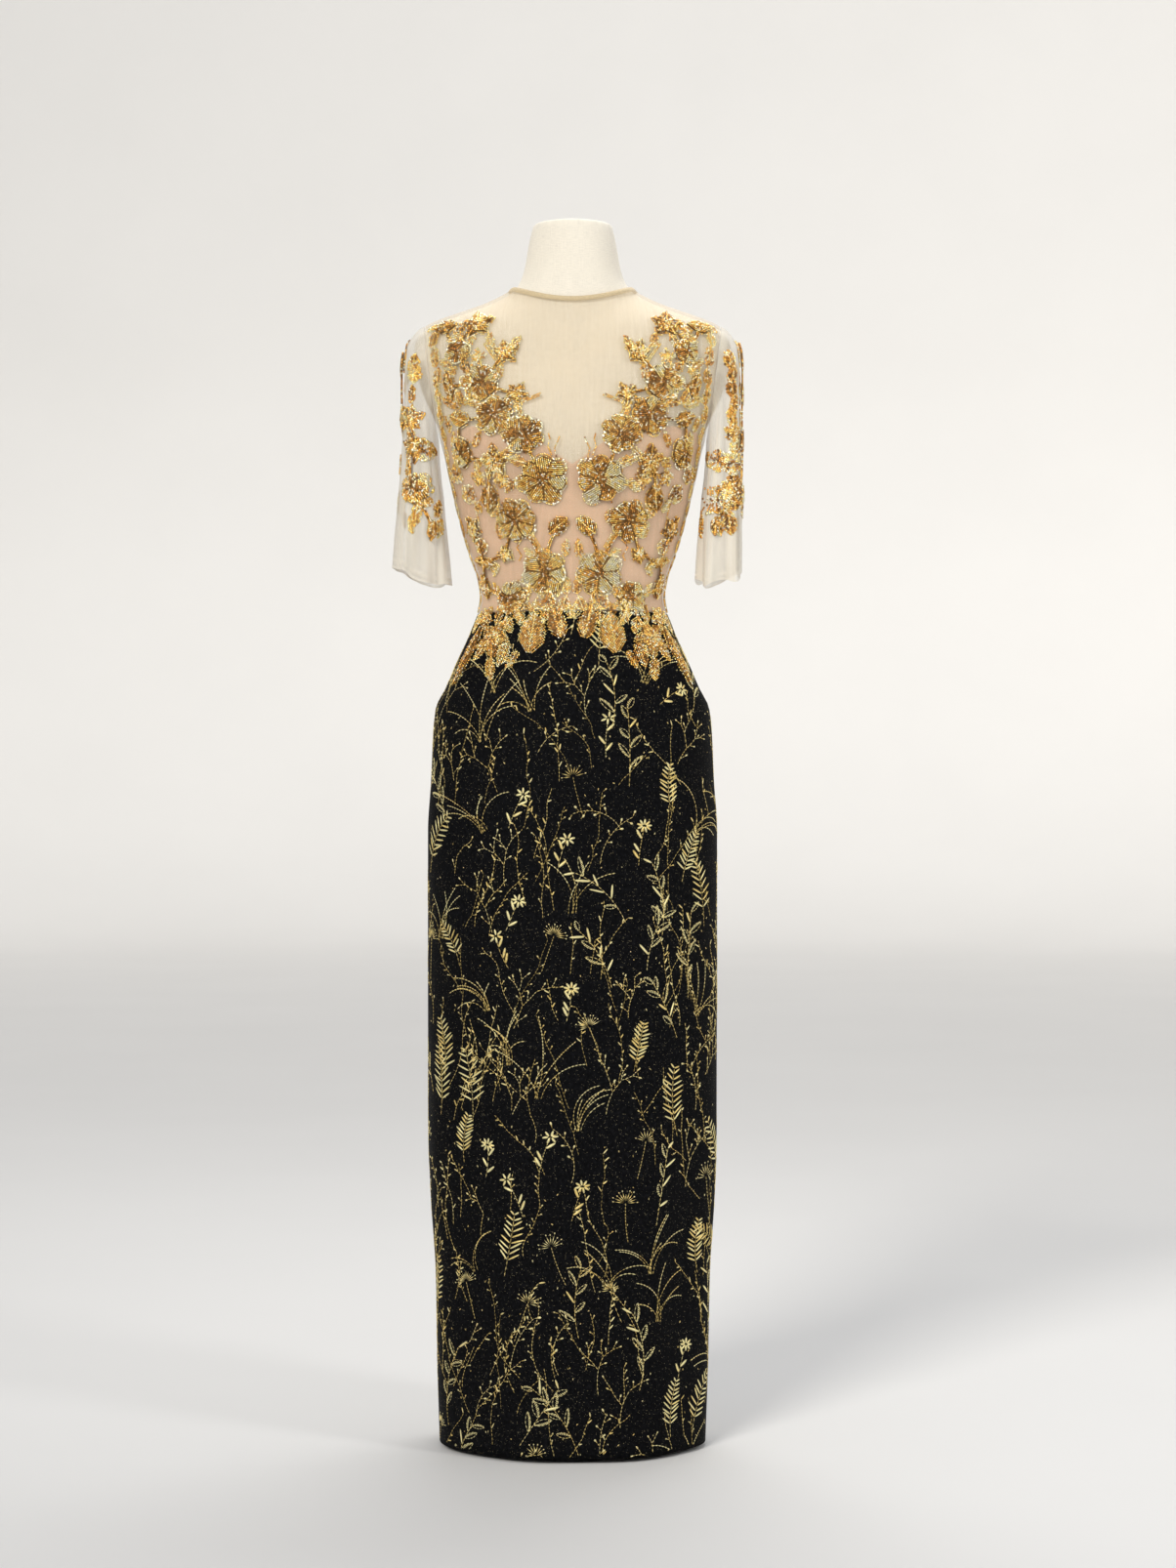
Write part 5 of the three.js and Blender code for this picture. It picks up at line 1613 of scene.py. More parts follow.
def stalk(rng, size):
    """A long thin wandering stem with small leaves, for the undergrowth."""
    marks = []
    points = [(0, -size / 2)]
    heading = UP + rng.uniform(-0.45, 0.45)
    steps = max(5, int(size / 9))
    tone = rng.uniform(0.3, 0.6)
    for i in range(steps):
        heading += rng.gauss(0, 0.16) + (UP - heading) * 0.06
        points.append(beyond(points[-1], heading, size / steps))
    line(marks, points, 0.95, tone)
    budding = rng.random()
    for i in range(2, steps + 1):
        if rng.random() < 0.62:
            angle = heading_at(points, i) + rng.choice((-1, 1)) * rng.uniform(0.35, 1.0)
            if budding < 0.6:
                long, wide = rng.uniform(4.5, 9), rng.uniform(1.4, 2.1)
                leaf_mark(marks, points[i], angle, long, wide, rng.uniform(0.4, 0.95))
            else:
                tip = beyond(points[i], angle, 6)
                line(marks, [points[i], tip], 0.9, tone)
                marks.append(("dot", *tip, angle, 2.8, 1.9, rng.uniform(0.5, 1)))
    return marks


# Each plant: how often it comes among the others, its smallest and its largest size.
PLANTS = [
    (fern, 14, 60, 92),
    (sprig, 16, 78, 110),
    (grass, 14, 60, 96),
    (twig, 20, 60, 90),
    (umbel, 9, 56, 80),
    (daisy, 10, 52, 74),
    (berries, 9, 52, 80),
]
PLANT_SEED = 41
PLANT_PITCH = 62
STALKS_PER_PLANT = 1.5
DOTS_PER_PLANT = 3.5


def draw_plants(rng, width, low, high):
    """Plants scattered over the cloth, as marks placed in millimetres from centre front and the floor."""
    marks = []

    def plant(maker, size, x0, y0, lean, shade):
        flip = rng.choice((-1, 1))
        c, s = math.cos(lean), math.sin(lean)
        for kind, a, b, angle, long, wide, tone in maker(rng, size):
            a *= flip
            angle = math.pi - angle if flip < 0 else angle
            at = (x0 + a * c - b * s, y0 + a * s + b * c)
            marks.append((kind, *at, angle + lean, long, wide, tone + shade))

    def anywhere():
        return rng.uniform(-width, width), rng.uniform(low, high)

    columns = round(2 * width / PLANT_PITCH)
    rows = round((high - low) / PLANT_PITCH)
    makers = [p for p in PLANTS for _ in range(p[1])]
    for row in range(rows + 1):
        for column in range(columns):
            x0 = -width + (column + 0.5 + 0.5 * (row % 2)) * 2 * width / columns
            x0 += rng.uniform(-0.22, 0.22) * PLANT_PITCH
            y0 = low + (high - low) * row / rows + rng.uniform(-0.3, 0.3) * PLANT_PITCH
            maker, _, small, large = rng.choice(makers)
            plant(maker, rng.uniform(small, large), x0, y0, rng.gauss(0, 0.32), rng.uniform(-0.12, 0.15))
    for _ in range(int(rows * columns * STALKS_PER_PLANT)):
        plant(stalk, rng.uniform(40, 130), *anywhere(), rng.gauss(0, 0.22), rng.uniform(-0.2, 0.05))
    for _ in range(int(rows * columns * DOTS_PER_PLANT)):
        at, angle = anywhere(), UP + rng.gauss(0, 0.6)
        marks.append(("dot", *at, angle, rng.uniform(1.6, 3.6), rng.uniform(0.9, 1.6), rng.uniform(0.2, 0.9)))
    return marks


class SkirtMap:
    """The skirt's face as a table of points and normals, by height and turn, for wrapping flat marks."""

    LEVEL_STEP = 8.0
    TURN_STEPS = 240

    def __init__(self):
        self.levels = np.arange(HEM, WAIST_SEAM + 0.1, self.LEVEL_STEP)
        self.turns = np.linspace(-2, 2, self.TURN_STEPS + 1)
        self.points = np.zeros((len(self.levels), len(self.turns), 3))
        self.normals = np.zeros_like(self.points)
        for i, z in enumerate(self.levels):
            for j, turn in enumerate(self.turns):
                self.points[i, j] = skirt_point(float(z), float(turn))
                self.normals[i, j] = normal_of(skirt_point, float(z), float(turn), SKIRT_STEPS)
        self.front, self.back = (
            np.array([quarter("skirt", round(float(z), 3), in_front)[2][-1] for z in self.levels])
            for in_front in (True, False)
        )

    def lengths(self, height):
        """The quarter outline's length at a height, for the front and for the back."""
        return np.interp(height, self.levels, self.front), np.interp(height, self.levels, self.back)

    def turn_of(self, across, height):
        """Turn at a distance along the cloth from centre front."""
        front, back = self.lengths(height)
        far = np.abs(across)
        return np.sign(across) * np.where(far <= front, far / front, 1 + (far - front) / back)

    def wrap(self, across, height, lift):
        """Points over the cloth, in millimetres, at distances along it, heights and lifts off its face."""
        turn = self.turn_of(across, height)
        i = np.clip((height - self.levels[0]) / self.LEVEL_STEP, 0, len(self.levels) - 1.001)
        j = np.clip((turn + 2) / 4 * self.TURN_STEPS, 0, self.TURN_STEPS - 0.001)
        i0, j0 = i.astype(int), j.astype(int)
        s, t = (i - i0)[..., None], (j - j0)[..., None]

        def mixed(grid):
            low = grid[i0, j0] * (1 - t) + grid[i0, j0 + 1] * t
            high = grid[i0 + 1, j0] * (1 - t) + grid[i0 + 1, j0 + 1] * t
            return low * (1 - s) + high * s

        return mixed(self.points) + mixed(self.normals) * lift[..., None]


# Pieces.


def make_form():
    """The linen-covered torso, closed at the hips and rounded over at the neck's top."""
    def place(across, up):
        turn = -2 + 4 * across
        level = TORSO_BOTTOM + (FORM_RIM - TORSO_BOTTOM) * up
        p = over_form(level, turn, LINEN)
        if up == 0:
            p.z = TORSO_BOTTOM
        return p, (turn * FORM_QUARTER, level)

    bm = cloth(104, 112, place)
    bmesh.ops.remove_doubles(bm, verts=bm.verts, dist=SEAM_WELD)
    ends = sorted((e for e in bm.edges if e.is_boundary), key=lambda e: e.verts[0].co.z)
    bottom = [e for e in ends if e.verts[0].co.z < (TORSO_BOTTOM + 40) * MM]
    ring = [e for e in ends if e.verts[0].co.z > (FORM_RIM - 66) * MM]
    size = 1
    for share, z in FORM_CAP:
        made = bmesh.ops.extrude_edge_only(bm, edges=ring)["geom"]
        moved = {g for g in made if isinstance(g, bmesh.types.BMVert)}
        ring = [g for g in made if isinstance(g, bmesh.types.BMEdge) and moved.issuperset(g.verts)]
        for v in moved:
            v.co.x *= share / size
            v.co.y *= share / size
            v.co.z = z * MM
        size = share
    bmesh.ops.contextual_create(bm, geom=ring)
    bmesh.ops.contextual_create(bm, geom=bottom)
    bmesh.ops.recalc_face_normals(bm, faces=bm.faces)
    for face in bm.faces:
        face.smooth = len(face.verts) < 5
    piece_from(bm, "linen_form", linen_finish(), "linen", "form_torso")


def make_stand():
    for name in ("form_post", "form_base"):
        dress(frame["nodes"][name], steel_finish())


def lining_top(turn):
    """The height of the lining's top edge at a turn."""
    at = abs(turn)
    i = min(len(LINING_TOP) - 2, max(0, bisect.bisect_left([p[0] for p in LINING_TOP], at) - 1))
    (t0, z0), (t1, z1) = LINING_TOP[i], LINING_TOP[i + 1]
    return z0 + (z1 - z0) * (at - t0) / (t1 - t0)


def lining_ease(level, turn):
    """Soft cross folds at the front, under the bust and at the waist."""
    front = max(0.0, 1 - abs(turn) / 0.75)
    folds = 0.0
    for z, lean, deep in LINING_FOLDS:
        folds += deep * bell(level - z + lean * abs(turn), 4.2)
    return folds * front


def lining_panel(name, columns, start, end, node):
    def place(across, up):
        turn = start + (end - start) * across
        low = WAIST_SEAM + SEAM
        level = low + (lining_top(turn) - low) * up
        inside = min(1.0, 6 * min(up, 1 - up))
        p = over_form(level, turn, LINING_OUT - 0.7 + lining_ease(level, turn) * inside)
        return p, (run_at("form", level, turn), level)

    obj = piece_from(cloth(columns, 60, place), name, satin_finish(), "lining", node)
    thicken(obj, SATIN_THICK)


def make_lining():
    lining_panel("satin_front", 72, -0.9985, 0.9985, "lining_front")
    lining_panel("satin_back_left", 34, 1.0015, 1.974, "lining_back_left")
    lining_panel("satin_back_right", 34, -1.974, -1.0015, "lining_back_right")


def thicken(obj, thickness):
    """Gives a cloth its thickness, inwards from its outer face."""
    solid = obj.modifiers.new("cloth thickness", "SOLIDIFY")
    solid.thickness = thickness
    solid.offset = -1
    solid.use_even_offset = False


def net_ease(level, turn):
    """Faint drag lines of the net: arcs below the neckline and long pulls from the armholes."""
    arcs = 0.0
    if level > 1380:
        for z, deep in NECK_ARCS:
            arcs += deep * bell(level - z - 4 * noise.noise(Vector((turn * 3, z * 0.1, 0))), 2.4)
        arcs *= max(0.0, 1 - abs(turn) / 1.2)
    pull = 0.35 * noise.noise(Vector((turn * 9, level * 0.012, 3)))
    return arcs + pull


def front_edge(z):
    """The turn at which the front's net ends, at the armhole or the side seam."""
    edge = armhole_turn(round(z, 2), True, -SEAM)
    return turn_by("form", z, 1, -SEAM / 2) if edge == 1 else edge


def back_edge(z):
    """The turn at which the back's net begins."""
    edge = armhole_turn(round(z, 2), False, -SEAM)
    return turn_by("form", z, 1, SEAM / 2) if edge == 1 else edge


def zip_edge(z):
    return turn_by("form", z, 2, -ZIP_HALF)


def tulle_levels(rows):
    """Levels of the net's rows, with one on each end of the armhole."""
    low, high = armhole_ends(-SEAM)
    marks = [WAIST_SEAM + SEAM, low - 0.05, high + 0.05, NET_TOP]
    counts = [round(rows * 0.5), round(rows * 0.34)]
    counts.append(rows - sum(counts))
    levels = []
    for start, end, count in zip(marks, marks[1:], counts):
        for i in range(count):
            t = i / count
            if start == marks[1]:
                t = (1 - math.cos(math.pi * t)) / 2
            levels.append(start + (end - start) * t)
    return levels + [marks[-1]]


def net_panel(name, columns, edges, finish, node):
    """One panel of the bodice's net; edges(z) gives the turns between which it lies."""
    rows = 84
    levels = tulle_levels(rows)

    def place(across, up):
        level = levels[round(up * rows)]
        start, end = edges(level)
        turn = start + (end - start) * across
        inside = min(1.0, 8 * min(up, 1 - up, across + 0.02, 1.02 - across))
        p = over_form(level, turn, TULLE_OUT - 0.4 + net_ease(level, turn) * inside)
        return p, (run_at("form", level, turn), level)

    obj = piece_from(cloth(columns, rows, place), name, finish, "tulle", node)


def make_tulle():
    def front(z):
        return -front_edge(z), front_edge(z)

    def back_left(z):
        return back_edge(z), zip_edge(z)

    def back_right(z):
        return -zip_edge(z), -back_edge(z)

    settings = bpy.context.scene.gown_cloth
    finish = net_finish("bodice_net", settings.net, settings.net_cover)
    net_panel("net_front", 80, front, finish, "tulle_front")
    net_panel("net_back_left", 38, back_left, finish, "tulle_back_left")
    net_panel("net_back_right", 38, back_right, finish, "tulle_back_right")


def crease_depth(side, row, degrees):
    """How steep the net's gathers and creases are there, which makes it look denser on their flanks."""
    grown = max(0.0, (row - 1.5) / 7.5)
    total = 0.0
    for at, lean, deep, width, *_ in GATHERS[side] + CREASES[side]:
        apart = degrees - at - lean * (grown - 0.5)
        apart -= 360 * round(apart / 360)
        total += abs(deep) / width * abs(apart) / width * bell(apart, width)
    return total * min(1.0, 0.25 + grown)


def make_sleeve(side, finish):
    surface = sleeve_surface(side, creased=True)
    sign = 1 if side == "left" else -1
    last = len(SLEEVES[side]) - 1

    def place(across, up):
        row = last * (1 - up)
        angle = 2 * math.pi * across
        hem = max(0.0, 1 - 110 * up) + 0.5 * bell(up - 0.028, 0.004)
        fold = min(1.0, 2.2 * crease_depth(side, row, math.degrees(sign * angle)) + hem)
        return surface(row, angle), (across * SLEEVE_ROUND, SLEEVE_HEM + SLEEVE_LONG * up), fold

    bm = cloth(150, 72, place)
    bmesh.ops.remove_doubles(bm, verts=bm.verts, dist=SEAM_WELD)
    bmesh.ops.recalc_face_normals(bm, faces=bm.faces)
    outer = max(bm.faces, key=lambda f: sign * f.calc_center_median().x)
    if outer.normal.x * sign < 0:
        bmesh.ops.reverse_faces(bm, faces=bm.faces)
    obj = piece_from(bm, f"net_sleeve_{side}", finish, "tulle", f"sleeve_{side}")


def make_sleeves():
    settings = bpy.context.scene.gown_cloth
    finish = net_finish("sleeve_net", settings.sleeve_net, settings.net_cover * 0.9)
    for side in ("left", "right"):
        make_sleeve(side, finish)


def binding_finish():
    colour = bpy.context.scene.gown_cloth.binding
    f = Finish("neck_binding_net", Roughness=0.7, Sheen_Weight=0.2)
    grain = f.cloud(f.scaled(f.cloth_place(), (300, 900, 1)), 1.0, 3)
    f.colour(f.ramp(grain, (0.3, tint(colour, 0.8)), (0.7, tint(colour, 1.1))))
    f.bump(grain, 0.0004, 0.6)
    return f.material


def make_binding():
    """A narrow folded strip round the neckline."""
    def place(across, up):
        turn = -1.994 + 3.988 * across
        level = BINDING_BOTTOM + (NECKLINE + 0.6 - BINDING_BOTTOM) * up
        crown = math.sin(math.pi * up)
        uneven = noise.noise(Vector((turn * 14, up * 3, 0)))
        p = over_form(level, turn, TULLE_OUT - 0.6 + 1.1 * crown + 0.25 * uneven)
        return p, (run_at("form", level, turn), level)

    obj = piece_from(cloth(150, 8, place), "neck_strip", binding_finish(), "binding", "neck_binding")
    thicken(obj, BINDING_THICK)


def skirt_back_edge(z):
    return turn_by("skirt", z, 2, -SEAM if z < ZIP_END else -ZIP_HALF)


def skirt_side(z, sign):
    return turn_by("skirt", z, 1, sign * SEAM / 2)


def skirt_levels(rows):
    """Levels of the skirt's rows, with a short step at the zip's end."""
    levels = [HEM + (WAIST_SEAM - HEM) * i / rows for i in range(rows + 1)]
    near = min(range(rows + 1), key=lambda i: abs(levels[i] - ZIP_END))
    levels[near] = ZIP_END
    levels[near - 1] = ZIP_END - 4
    return levels


def skirt_panel(name, columns, edges, node):
    """One panel of the skirt; edges(z) gives the turns between which it lies."""
    rows = 112
    levels = skirt_levels(rows)

    def place(across, up):
        level = levels[round(up * rows)]
        start, end = edges(level)
        turn = start + (end - start) * across
        return skirt_point(level, turn), (run_at("skirt", level, turn), level)

    obj = piece_from(cloth(columns, rows, place), name, skirt_finish(), "skirt", node)
    thicken(obj, BROCADE_THICK)


def make_skirt():
    def front(z):
        return -skirt_side(z, -1), skirt_side(z, -1)

    def back_left(z):
        return skirt_side(z, 1), skirt_back_edge(z)

    def back_right(z):
        return -skirt_back_edge(z), -skirt_side(z, 1)

    skirt_panel("skirt_cloth_front", 76, front, "skirt_front")
    skirt_panel("skirt_cloth_back_left", 40, back_left, "skirt_back_left")
    skirt_panel("skirt_cloth_back_right", 40, back_right, "skirt_back_right")


def wrap_marks(skirt_map, kind, marks):
    """Lays flat marks of one kind on the skirt, as one mesh in metres."""
    _, x, y, angle, long, wide, tone = (np.array(c) for c in zip(*marks))
    x, y, angle, long, wide = (v.astype(float)[:, None] for v in (x, y, angle, long, wide))
    shape = SHAPES[kind]
    flat = shape_points(shape)
    thick = np.minimum(1.3, 0.55 + 0.16 * wide)
    a = flat[None, :, 0] * long
    b = flat[None, :, 1] * wide
    across = x + a * np.cos(angle) - b * np.sin(angle)
    height = y + a * np.sin(angle) + b * np.cos(angle)
    lift = 0.12 + flat[None, :, 2] * thick
    points = skirt_map.wrap(across, height, lift) * MM
    return points_to_mesh(points, shape_faces(shape), np.clip(tone.astype(float), 0, 1))


def panel_of(mark, skirt_map):
    """The panel that a mark lies on, or None where it would cross a seam, the hem, the waist or the zip."""
    _, x, y, angle, long, _, _ = mark
    reach = long / 2
    up = reach * abs(math.sin(angle))
    if not HEM + 2 < y - up or not y + up < WAIST_SEAM - 2:
        return None
    front, back = skirt_map.lengths(y)
    across = reach * abs(math.cos(angle)) + 0.8
    centre_gap = ZIP_HALF if y > ZIP_END - 6 else 0.5
    if abs(abs(x) - front) < across or front + back - abs(x) < across + centre_gap:
        return None
    if abs(x) < front:
        return "front"
    return "back_left" if x > 0 else "back_right"


def make_plants():
    rng = random.Random(PLANT_SEED)
    skirt_map = SkirtMap()
    width = float(skirt_map.front.max() + skirt_map.back.max())
    placed = [(panel_of(m, skirt_map), m) for m in draw_plants(rng, width, HEM + 4, WAIST_SEAM + 20)]
    for panel in ("front", "back_left", "back_right"):
        meshes = []
        for kind in ("stitch", "leaf", "dot"):
            marks = [m for where, m in placed if where == panel and m[0] == kind]
            if marks:
                meshes.append(wrap_marks(skirt_map, kind, marks))
        piece_from(join_meshes(meshes), f"woven_plants_{panel}", plant_finish(), "skirt")


def clear_of(kind, size):
    """How far from a motif's middle its stems stay, in millimetres."""
    return 2 if kind == "leaf" else size * 0.85


def stems_between(work, make_spot, spots, stems, mirrored):
    for start, end, bow in stems:
        (a, first), (b, last) = spots[start], spots[end]
        work.stem(make_spot, a, b, -bow if mirrored else bow, first, last)


def spray_on_gown(work, table, stems, small, sign, in_front):
    spots = {}
    mirrored = (sign < 0) == in_front
    for name, kind, x, z, size, other, angle in table:
        spot = gown_spot(sign * x, z, in_front)
        spots[name] = (spot, clear_of(kind, size))
        work.motif(spot, kind, size, other, angle, mirrored)
    for kind, x, z, size, other, angle in small:
        work.motif(gown_spot(sign * x, z, in_front), kind, size, other, angle, mirrored)
    stems_between(work, gown_place, spots, stems, mirrored)


def tendrils(work, sign):
    """Single rows of beads in small curves on the net."""
    for points in TENDRILS:
        spots = [gown_spot(sign * x, z, True) for x, z in points]
        for a, b in zip(spots, spots[1:]):
            work.stem(gown_place, a, b, 0, 0, 0, rows=1)


def spray_on_sleeve(work, side, sign):
    surface = sleeve_surface(side)
    place = functools.partial(sleeve_place, surface)
    spots = {}
    for name, kind, row, at, size, other, angle in SLEEVE_SPRAYS[side]:
        spot = place(row, math.radians(sign * at))
        spots[name] = (spot, clear_of(kind, size))
        work.motif(spot, kind, size, other, angle, sign < 0)
    for kind, x, z, size, other, angle in SMALL_SLEEVE[side]:
        work.motif(sleeve_spot(surface, sign, x, z), kind, size, other, angle, sign < 0)
    for kind, row, at, size, other, angle in SIDE_SLEEVE:
        work.motif(place(row, math.radians(sign * at)), kind, size, other, angle, sign < 0)
    stems_between(work, place, spots, SLEEVE_STEMS, sign < 0)


def make_sprays():
    """Beads over the embroidered sprays and on the net beside them."""
    nodes = frame["nodes"]
    for name, node in nodes.items():
        if name.startswith("spray_"):
            dress(node, thread_finish())
    cloths = [bpy.data.objects[n] for n in (
        "net_front", "net_back_left", "net_back_right",
        "skirt_cloth_front", "skirt_cloth_back_left", "skirt_cloth_back_right",
    )]
    front = [
        ("shoulder", SHOULDER, SHOULDER_STEMS),
        ("breast", BREAST, BREAST_STEMS),
        ("waist", WAIST, WAIST_STEMS),
    ]
    back = [
        ("back_yoke", YOKE_BACK, YOKE_BACK_STEMS),
        ("back_waist", WAIST_BACK, WAIST_BACK_STEMS),
    ]
    seeds = itertools.count(FIRST_BEAD_SEED)
    for side, sign in (("left", 1), ("right", -1)):
        for sprays, in_front in ((front, True), (back, False)):
            tree = tree_of(*cloths, *[nodes[f"spray_{name}_{side}"] for name, _, _ in sprays])
            for name, table, stems in sprays:
                work = Beadwork(tree, next(seeds))
                spray_on_gown(work, table, stems, SMALL_FRONT.get(name, []), sign, in_front)
                if name == "breast":
                    tendrils(work, sign)
                work.finish(f"beads_{name}_{side}")
        tree = tree_of(bpy.data.objects[f"net_sleeve_{side}"], nodes[f"spray_sleeve_{side}"])
        # Little but net lies under these beads, so they are larger and set close.
        work = Beadwork(tree, next(seeds), swell=SLEEVE_SWELL, shade=SLEEVE_SHADE)
        spray_on_sleeve(work, side, sign)
        work.finish(f"beads_sleeve_{side}")


def dress(node, finish):
    """Gives a kept solid its material."""
    node.data.materials.clear()
    node.data.materials.append(finish)


def slider_finish():
    f = Finish("slider_metal", Metallic=0.9, Roughness=0.3)
    haze = f.cloud(f.object_place(), 900, 2)
    f.colour(f.ramp(haze, (0.3, (0.5, 0.38, 0.2)), (0.7, (0.66, 0.52, 0.3))))
    return f.material


def make_closure():
    """The zip's tape, and the closed slider's small pull hanging just under the neck binding."""
    dress(frame["nodes"]["back_zip"], tape_finish())
    top = over_form(PULL_LEVEL, 2, PULL_OUT)
    bm = bmesh.new()
    bmesh.ops.create_uvsphere(bm, u_segments=16, v_segments=10, radius=1)
    for v in bm.verts:
        narrow = 0.62 + 0.38 * (1 - v.co.z) / 2
        v.co = Vector((v.co.x * 2.0 * narrow, v.co.y * 0.6, v.co.z * 7))
    bmesh.ops.translate(bm, verts=bm.verts, vec=Vector((0, top.y + 1.0, top.z - 6)))
    bmesh.ops.scale(bm, verts=bm.verts, vec=(MM, MM, MM))
    smooth(bm)
    piece_from(bm, "zip_pull", slider_finish(), "zip")


# The stage.


def make_camera():
    camera = bpy.data.cameras.new("camera")
    camera.sensor_width = SENSOR
    camera.lens = PHOTO_FOCAL * SENSOR / PHOTO_LONG
    eye = bpy.data.objects.new("camera", camera)
    bpy.context.scene.collection.objects.link(eye)
    eye.location = CAMERA_AT
    eye.rotation_euler = (math.pi / 2, 0, 0)
    bpy.context.scene.camera = eye


def floor_finish(colour):
    f = Finish("pale_floor", Roughness=0.9, Specular_IOR_Level=0.2)
    clouds = f.cloud(f.object_place(), 1.2, 3)
    f.colour(f.ramp(clouds, (0.3, tint(colour, 0.98)), (0.7, colour[:3])))
    return f.material


def make_floor(colour):
    """A round studio: the floor bends up into a wall all round, so that it is the backdrop of every view."""
    bm = bmesh.new()
    bmesh.ops.create_circle(bm, cap_ends=True, segments=96, radius=STUDIO_RADIUS)
    rim = list(bm.edges)
    raised = bmesh.ops.extrude_edge_only(bm, edges=rim)["geom"]
    top = [g for g in raised if isinstance(g, bmesh.types.BMVert)]
    bmesh.ops.translate(bm, verts=top, vec=(0, 0, STUDIO_HEIGHT))
    bmesh.ops.bevel(bm, geom=rim, offset=STUDIO_BEND, segments=28, profile=0.5, affect="EDGES", material=-1)
    bmesh.ops.recalc_face_normals(bm, faces=bm.faces)
    if max(bm.faces, key=lambda f: f.calc_area()).normal.z < 0:
        bmesh.ops.reverse_faces(bm, faces=bm.faces)
    smooth(bm)
    mesh = mesh_from(bm, "floor")
    mesh.materials.append(floor_finish(colour))
    floor = bpy.data.objects.new("floor", mesh)
    bpy.context.scene.collection.objects.link(floor)


def aim_light(data, at, target):
    obj = bpy.data.objects.new(data.name, data)
    bpy.context.scene.collection.objects.link(obj)
    obj.location = at
    obj.rotation_mode = "QUATERNION"
    obj.rotation_quaternion = (Vector(target) - Vector(at)).to_track_quat("-Z", "Y")


def area_light(name, at, target, size, power):
    data = bpy.data.lights.new(name, "AREA")
    data.shape = "RECTANGLE"
    data.size, data.size_y = size
    data.energy = power
    aim_light(data, at, target)


def make_lights(settings):
    world = bpy.data.worlds.new("studio")
    world.use_nodes = True
    background = world.node_tree.nodes["Background"]
    background.inputs["Color"].default_value = (0.9, 0.93, 1, 1)
    background.inputs["Strength"].default_value = settings.fill
    bpy.context.scene.world = world
    key = bpy.data.lights.new("key", "SUN")
    key.energy = settings.key
    key.angle = math.radians(KEY_SPREAD)
    key.color = (1, 0.97, 0.92)
    aim_light(key, *KEY_LIGHT)
    area_light("side", *SIDE_LIGHT, settings.side)
    area_light("top", *TOP_LIGHT, settings.top)
    bpy.context.scene.view_settings.view_transform = "Standard"


def make_stage():
    settings = bpy.context.scene.gown_stage
    make_camera()
    make_floor(settings.floor)
    make_lights(settings)


# Properties, operators and panel.


def colour_property(name, description, default):
    return bpy.props.FloatVectorProperty(
        name=name, description=description, default=default, subtype="COLOR", size=3, min=0, max=1
    )


class GownFormSettings(bpy.types.PropertyGroup):
    linen: colour_property("Linen", "Colour of the dress form's cover", (0.86, 0.80, 0.68))


class GownClothSettings(bpy.types.PropertyGroup):
    net: colour_property("Net", "Colour of the bodice's net", (0.80, 0.66, 0.44))
    sleeve_net: colour_property("Sleeve net", "Colour of the sleeves' net", (0.82, 0.76, 0.64))
    lining: colour_property("Lining", "Colour of the satin lining", (0.84, 0.53, 0.36))
    binding: colour_property("Binding", "Colour of the neck binding", (0.62, 0.49, 0.29))
    plants: colour_property("Woven plants", "Colour of the metallic weft", (1.0, 0.75, 0.25))
    net_cover: bpy.props.FloatProperty(
        name="Net cover",
        description="Share of the net that its threads cover",
        default=0.36,
        min=0.05,
        max=1,
        subtype="FACTOR",
    )


class GownBeadSettings(bpy.types.PropertyGroup):
    amber: colour_property("Amber", "Colour of the darkest beads", (0.62, 0.27, 0.04))
    pale: colour_property("Pale", "Colour of the palest beads", (0.88, 0.82, 0.48))


class GownStageSettings(bpy.types.PropertyGroup):
    floor: colour_property("Floor", "Colour of floor and backdrop", (0.80, 0.79, 0.77))
    key: bpy.props.FloatProperty(
        name="Key light", description="Strength of the main soft light", default=2.38, min=0
    )
    side: bpy.props.FloatProperty(
        name="Side light",
        description="Power of the soft light from the right",
        default=24,
        min=0,
        unit="POWER",
    )
    top: bpy.props.FloatProperty(
        name="Top light",
        description="Power of the soft light from above",
        default=34,
        min=0,
        unit="POWER",
    )
    fill: bpy.props.FloatProperty(
        name="Fill", description="Strength of the light from all round", default=0.38, min=0
    )


class GOWN_OT_stage(bpy.types.Operator):
    """Makes the camera, floor, backdrop and lights"""

    bl_idname = "gown.stage"
    bl_label = "Stage"

    def execute(self, context):
        make_stage()
        return {"FINISHED"}


class GOWN_OT_form(bpy.types.Operator):
    """Covers the torso with linen"""

    bl_idname = "gown.form"
    bl_label = "Dress form"

    def execute(self, context):
        make_form()
        return {"FINISHED"}


class GOWN_OT_stand(bpy.types.Operator):
    """Paints the post and the base"""

    bl_idname = "gown.stand"
    bl_label = "Stand"

    def execute(self, context):
        make_stand()
        return {"FINISHED"}


class GOWN_OT_lining(bpy.types.Operator):
    """Makes the three satin panels of the lining"""

    bl_idname = "gown.lining"
    bl_label = "Lining"

    def execute(self, context):
        make_lining()
        return {"FINISHED"}


class GOWN_OT_tulle(bpy.types.Operator):
    """Makes the net front and backs"""

    bl_idname = "gown.tulle"
    bl_label = "Net bodice"

    def execute(self, context):
        make_tulle()
        return {"FINISHED"}


class GOWN_OT_sleeves(bpy.types.Operator):
    """Makes the two net sleeves"""

    bl_idname = "gown.sleeves"
    bl_label = "Sleeves"

    def execute(self, context):
        make_sleeves()
        return {"FINISHED"}


class GOWN_OT_binding(bpy.types.Operator):
    """Makes the folded strip at the neck"""

    bl_idname = "gown.binding"
    bl_label = "Neck binding"

    def execute(self, context):
        make_binding()
        return {"FINISHED"}


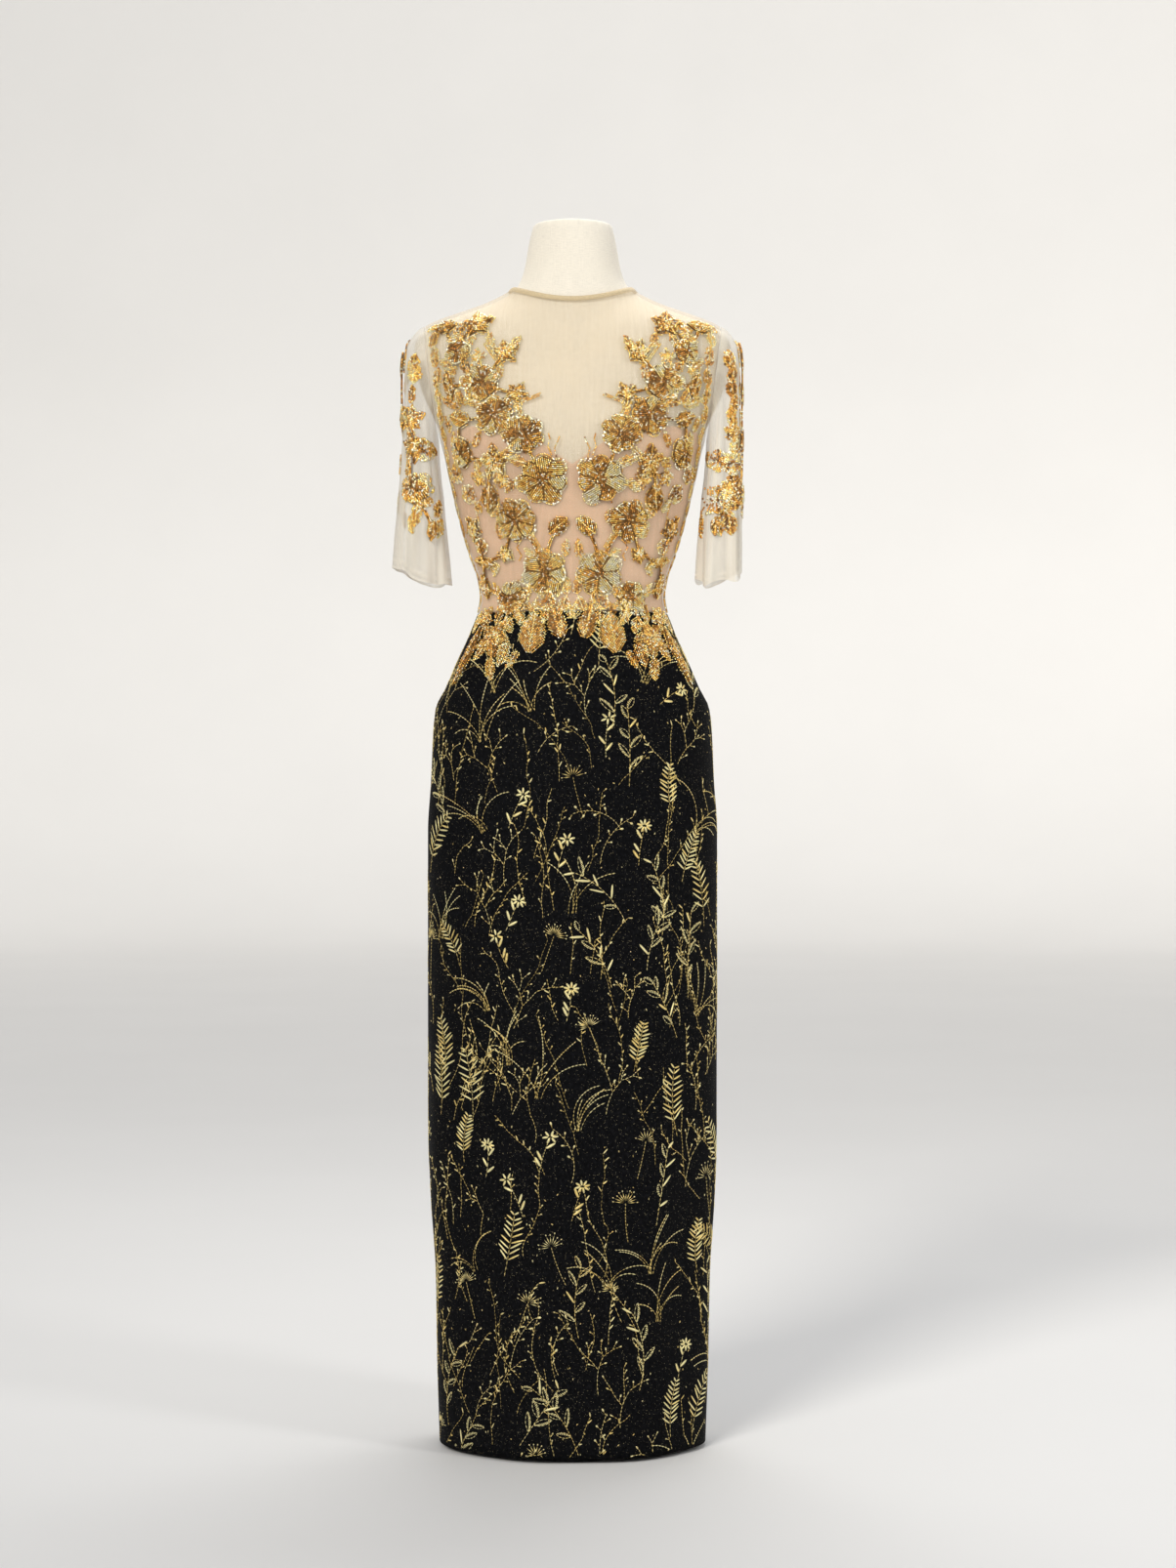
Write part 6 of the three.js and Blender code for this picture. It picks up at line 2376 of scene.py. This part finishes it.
class GOWN_OT_skirt(bpy.types.Operator):
    """Makes the skirt's three panels"""

    bl_idname = "gown.skirt"
    bl_label = "Skirt"

    def execute(self, context):
        make_skirt()
        return {"FINISHED"}


class GOWN_OT_plants(bpy.types.Operator):
    """Weaves the metallic plants into the skirt"""

    bl_idname = "gown.plants"
    bl_label = "Woven plants"

    def execute(self, context):
        make_plants()
        return {"FINISHED"}


class GOWN_OT_closure(bpy.types.Operator):
    """Finishes the zip and its pull"""

    bl_idname = "gown.closure"
    bl_label = "Closure"

    def execute(self, context):
        make_closure()
        return {"FINISHED"}


class GOWN_OT_sprays(bpy.types.Operator):
    """Sews the beads on the sprays"""

    bl_idname = "gown.sprays"
    bl_label = "Beaded sprays"

    def execute(self, context):
        make_sprays()
        return {"FINISHED"}


OPERATORS = (
    GOWN_OT_stage,
    GOWN_OT_form,
    GOWN_OT_stand,
    GOWN_OT_lining,
    GOWN_OT_tulle,
    GOWN_OT_sleeves,
    GOWN_OT_binding,
    GOWN_OT_skirt,
    GOWN_OT_plants,
    GOWN_OT_closure,
    GOWN_OT_sprays,
)


class GOWN_PT_panel(bpy.types.Panel):
    """Lists the gown's pieces in the order in which they are made."""

    bl_idname = "GOWN_PT_panel"
    bl_label = "Beaded gown"
    bl_space_type = "VIEW_3D"
    bl_region_type = "UI"
    bl_category = "Gown"

    def draw(self, context):
        scene = context.scene
        for settings in (scene.gown_form, scene.gown_cloth, scene.gown_beads, scene.gown_stage):
            for name in settings.__annotations__:
                self.layout.prop(settings, name)
        for step in OPERATORS:
            self.layout.operator(step.bl_idname)


SETTINGS = (GownFormSettings, GownClothSettings, GownBeadSettings, GownStageSettings)
CLASSES = (*SETTINGS, *OPERATORS, GOWN_PT_panel)


def register():
    for item in CLASSES:
        bpy.utils.register_class(item)
    bpy.types.Scene.gown_form = bpy.props.PointerProperty(type=GownFormSettings)
    bpy.types.Scene.gown_cloth = bpy.props.PointerProperty(type=GownClothSettings)
    bpy.types.Scene.gown_beads = bpy.props.PointerProperty(type=GownBeadSettings)
    bpy.types.Scene.gown_stage = bpy.props.PointerProperty(type=GownStageSettings)


def unregister():
    del bpy.types.Scene.gown_stage
    del bpy.types.Scene.gown_beads
    del bpy.types.Scene.gown_cloth
    del bpy.types.Scene.gown_form
    for item in reversed(CLASSES):
        bpy.utils.unregister_class(item)


def main():
    register()
    bpy.ops.gown.stage()
    bpy.ops.gown.form()
    bpy.ops.gown.stand()
    bpy.ops.gown.lining()
    bpy.ops.gown.tulle()
    bpy.ops.gown.sleeves()
    bpy.ops.gown.binding()
    bpy.ops.gown.skirt()
    bpy.ops.gown.plants()
    bpy.ops.gown.closure()
    bpy.ops.gown.sprays()


if __name__ == "__main__":
    main()
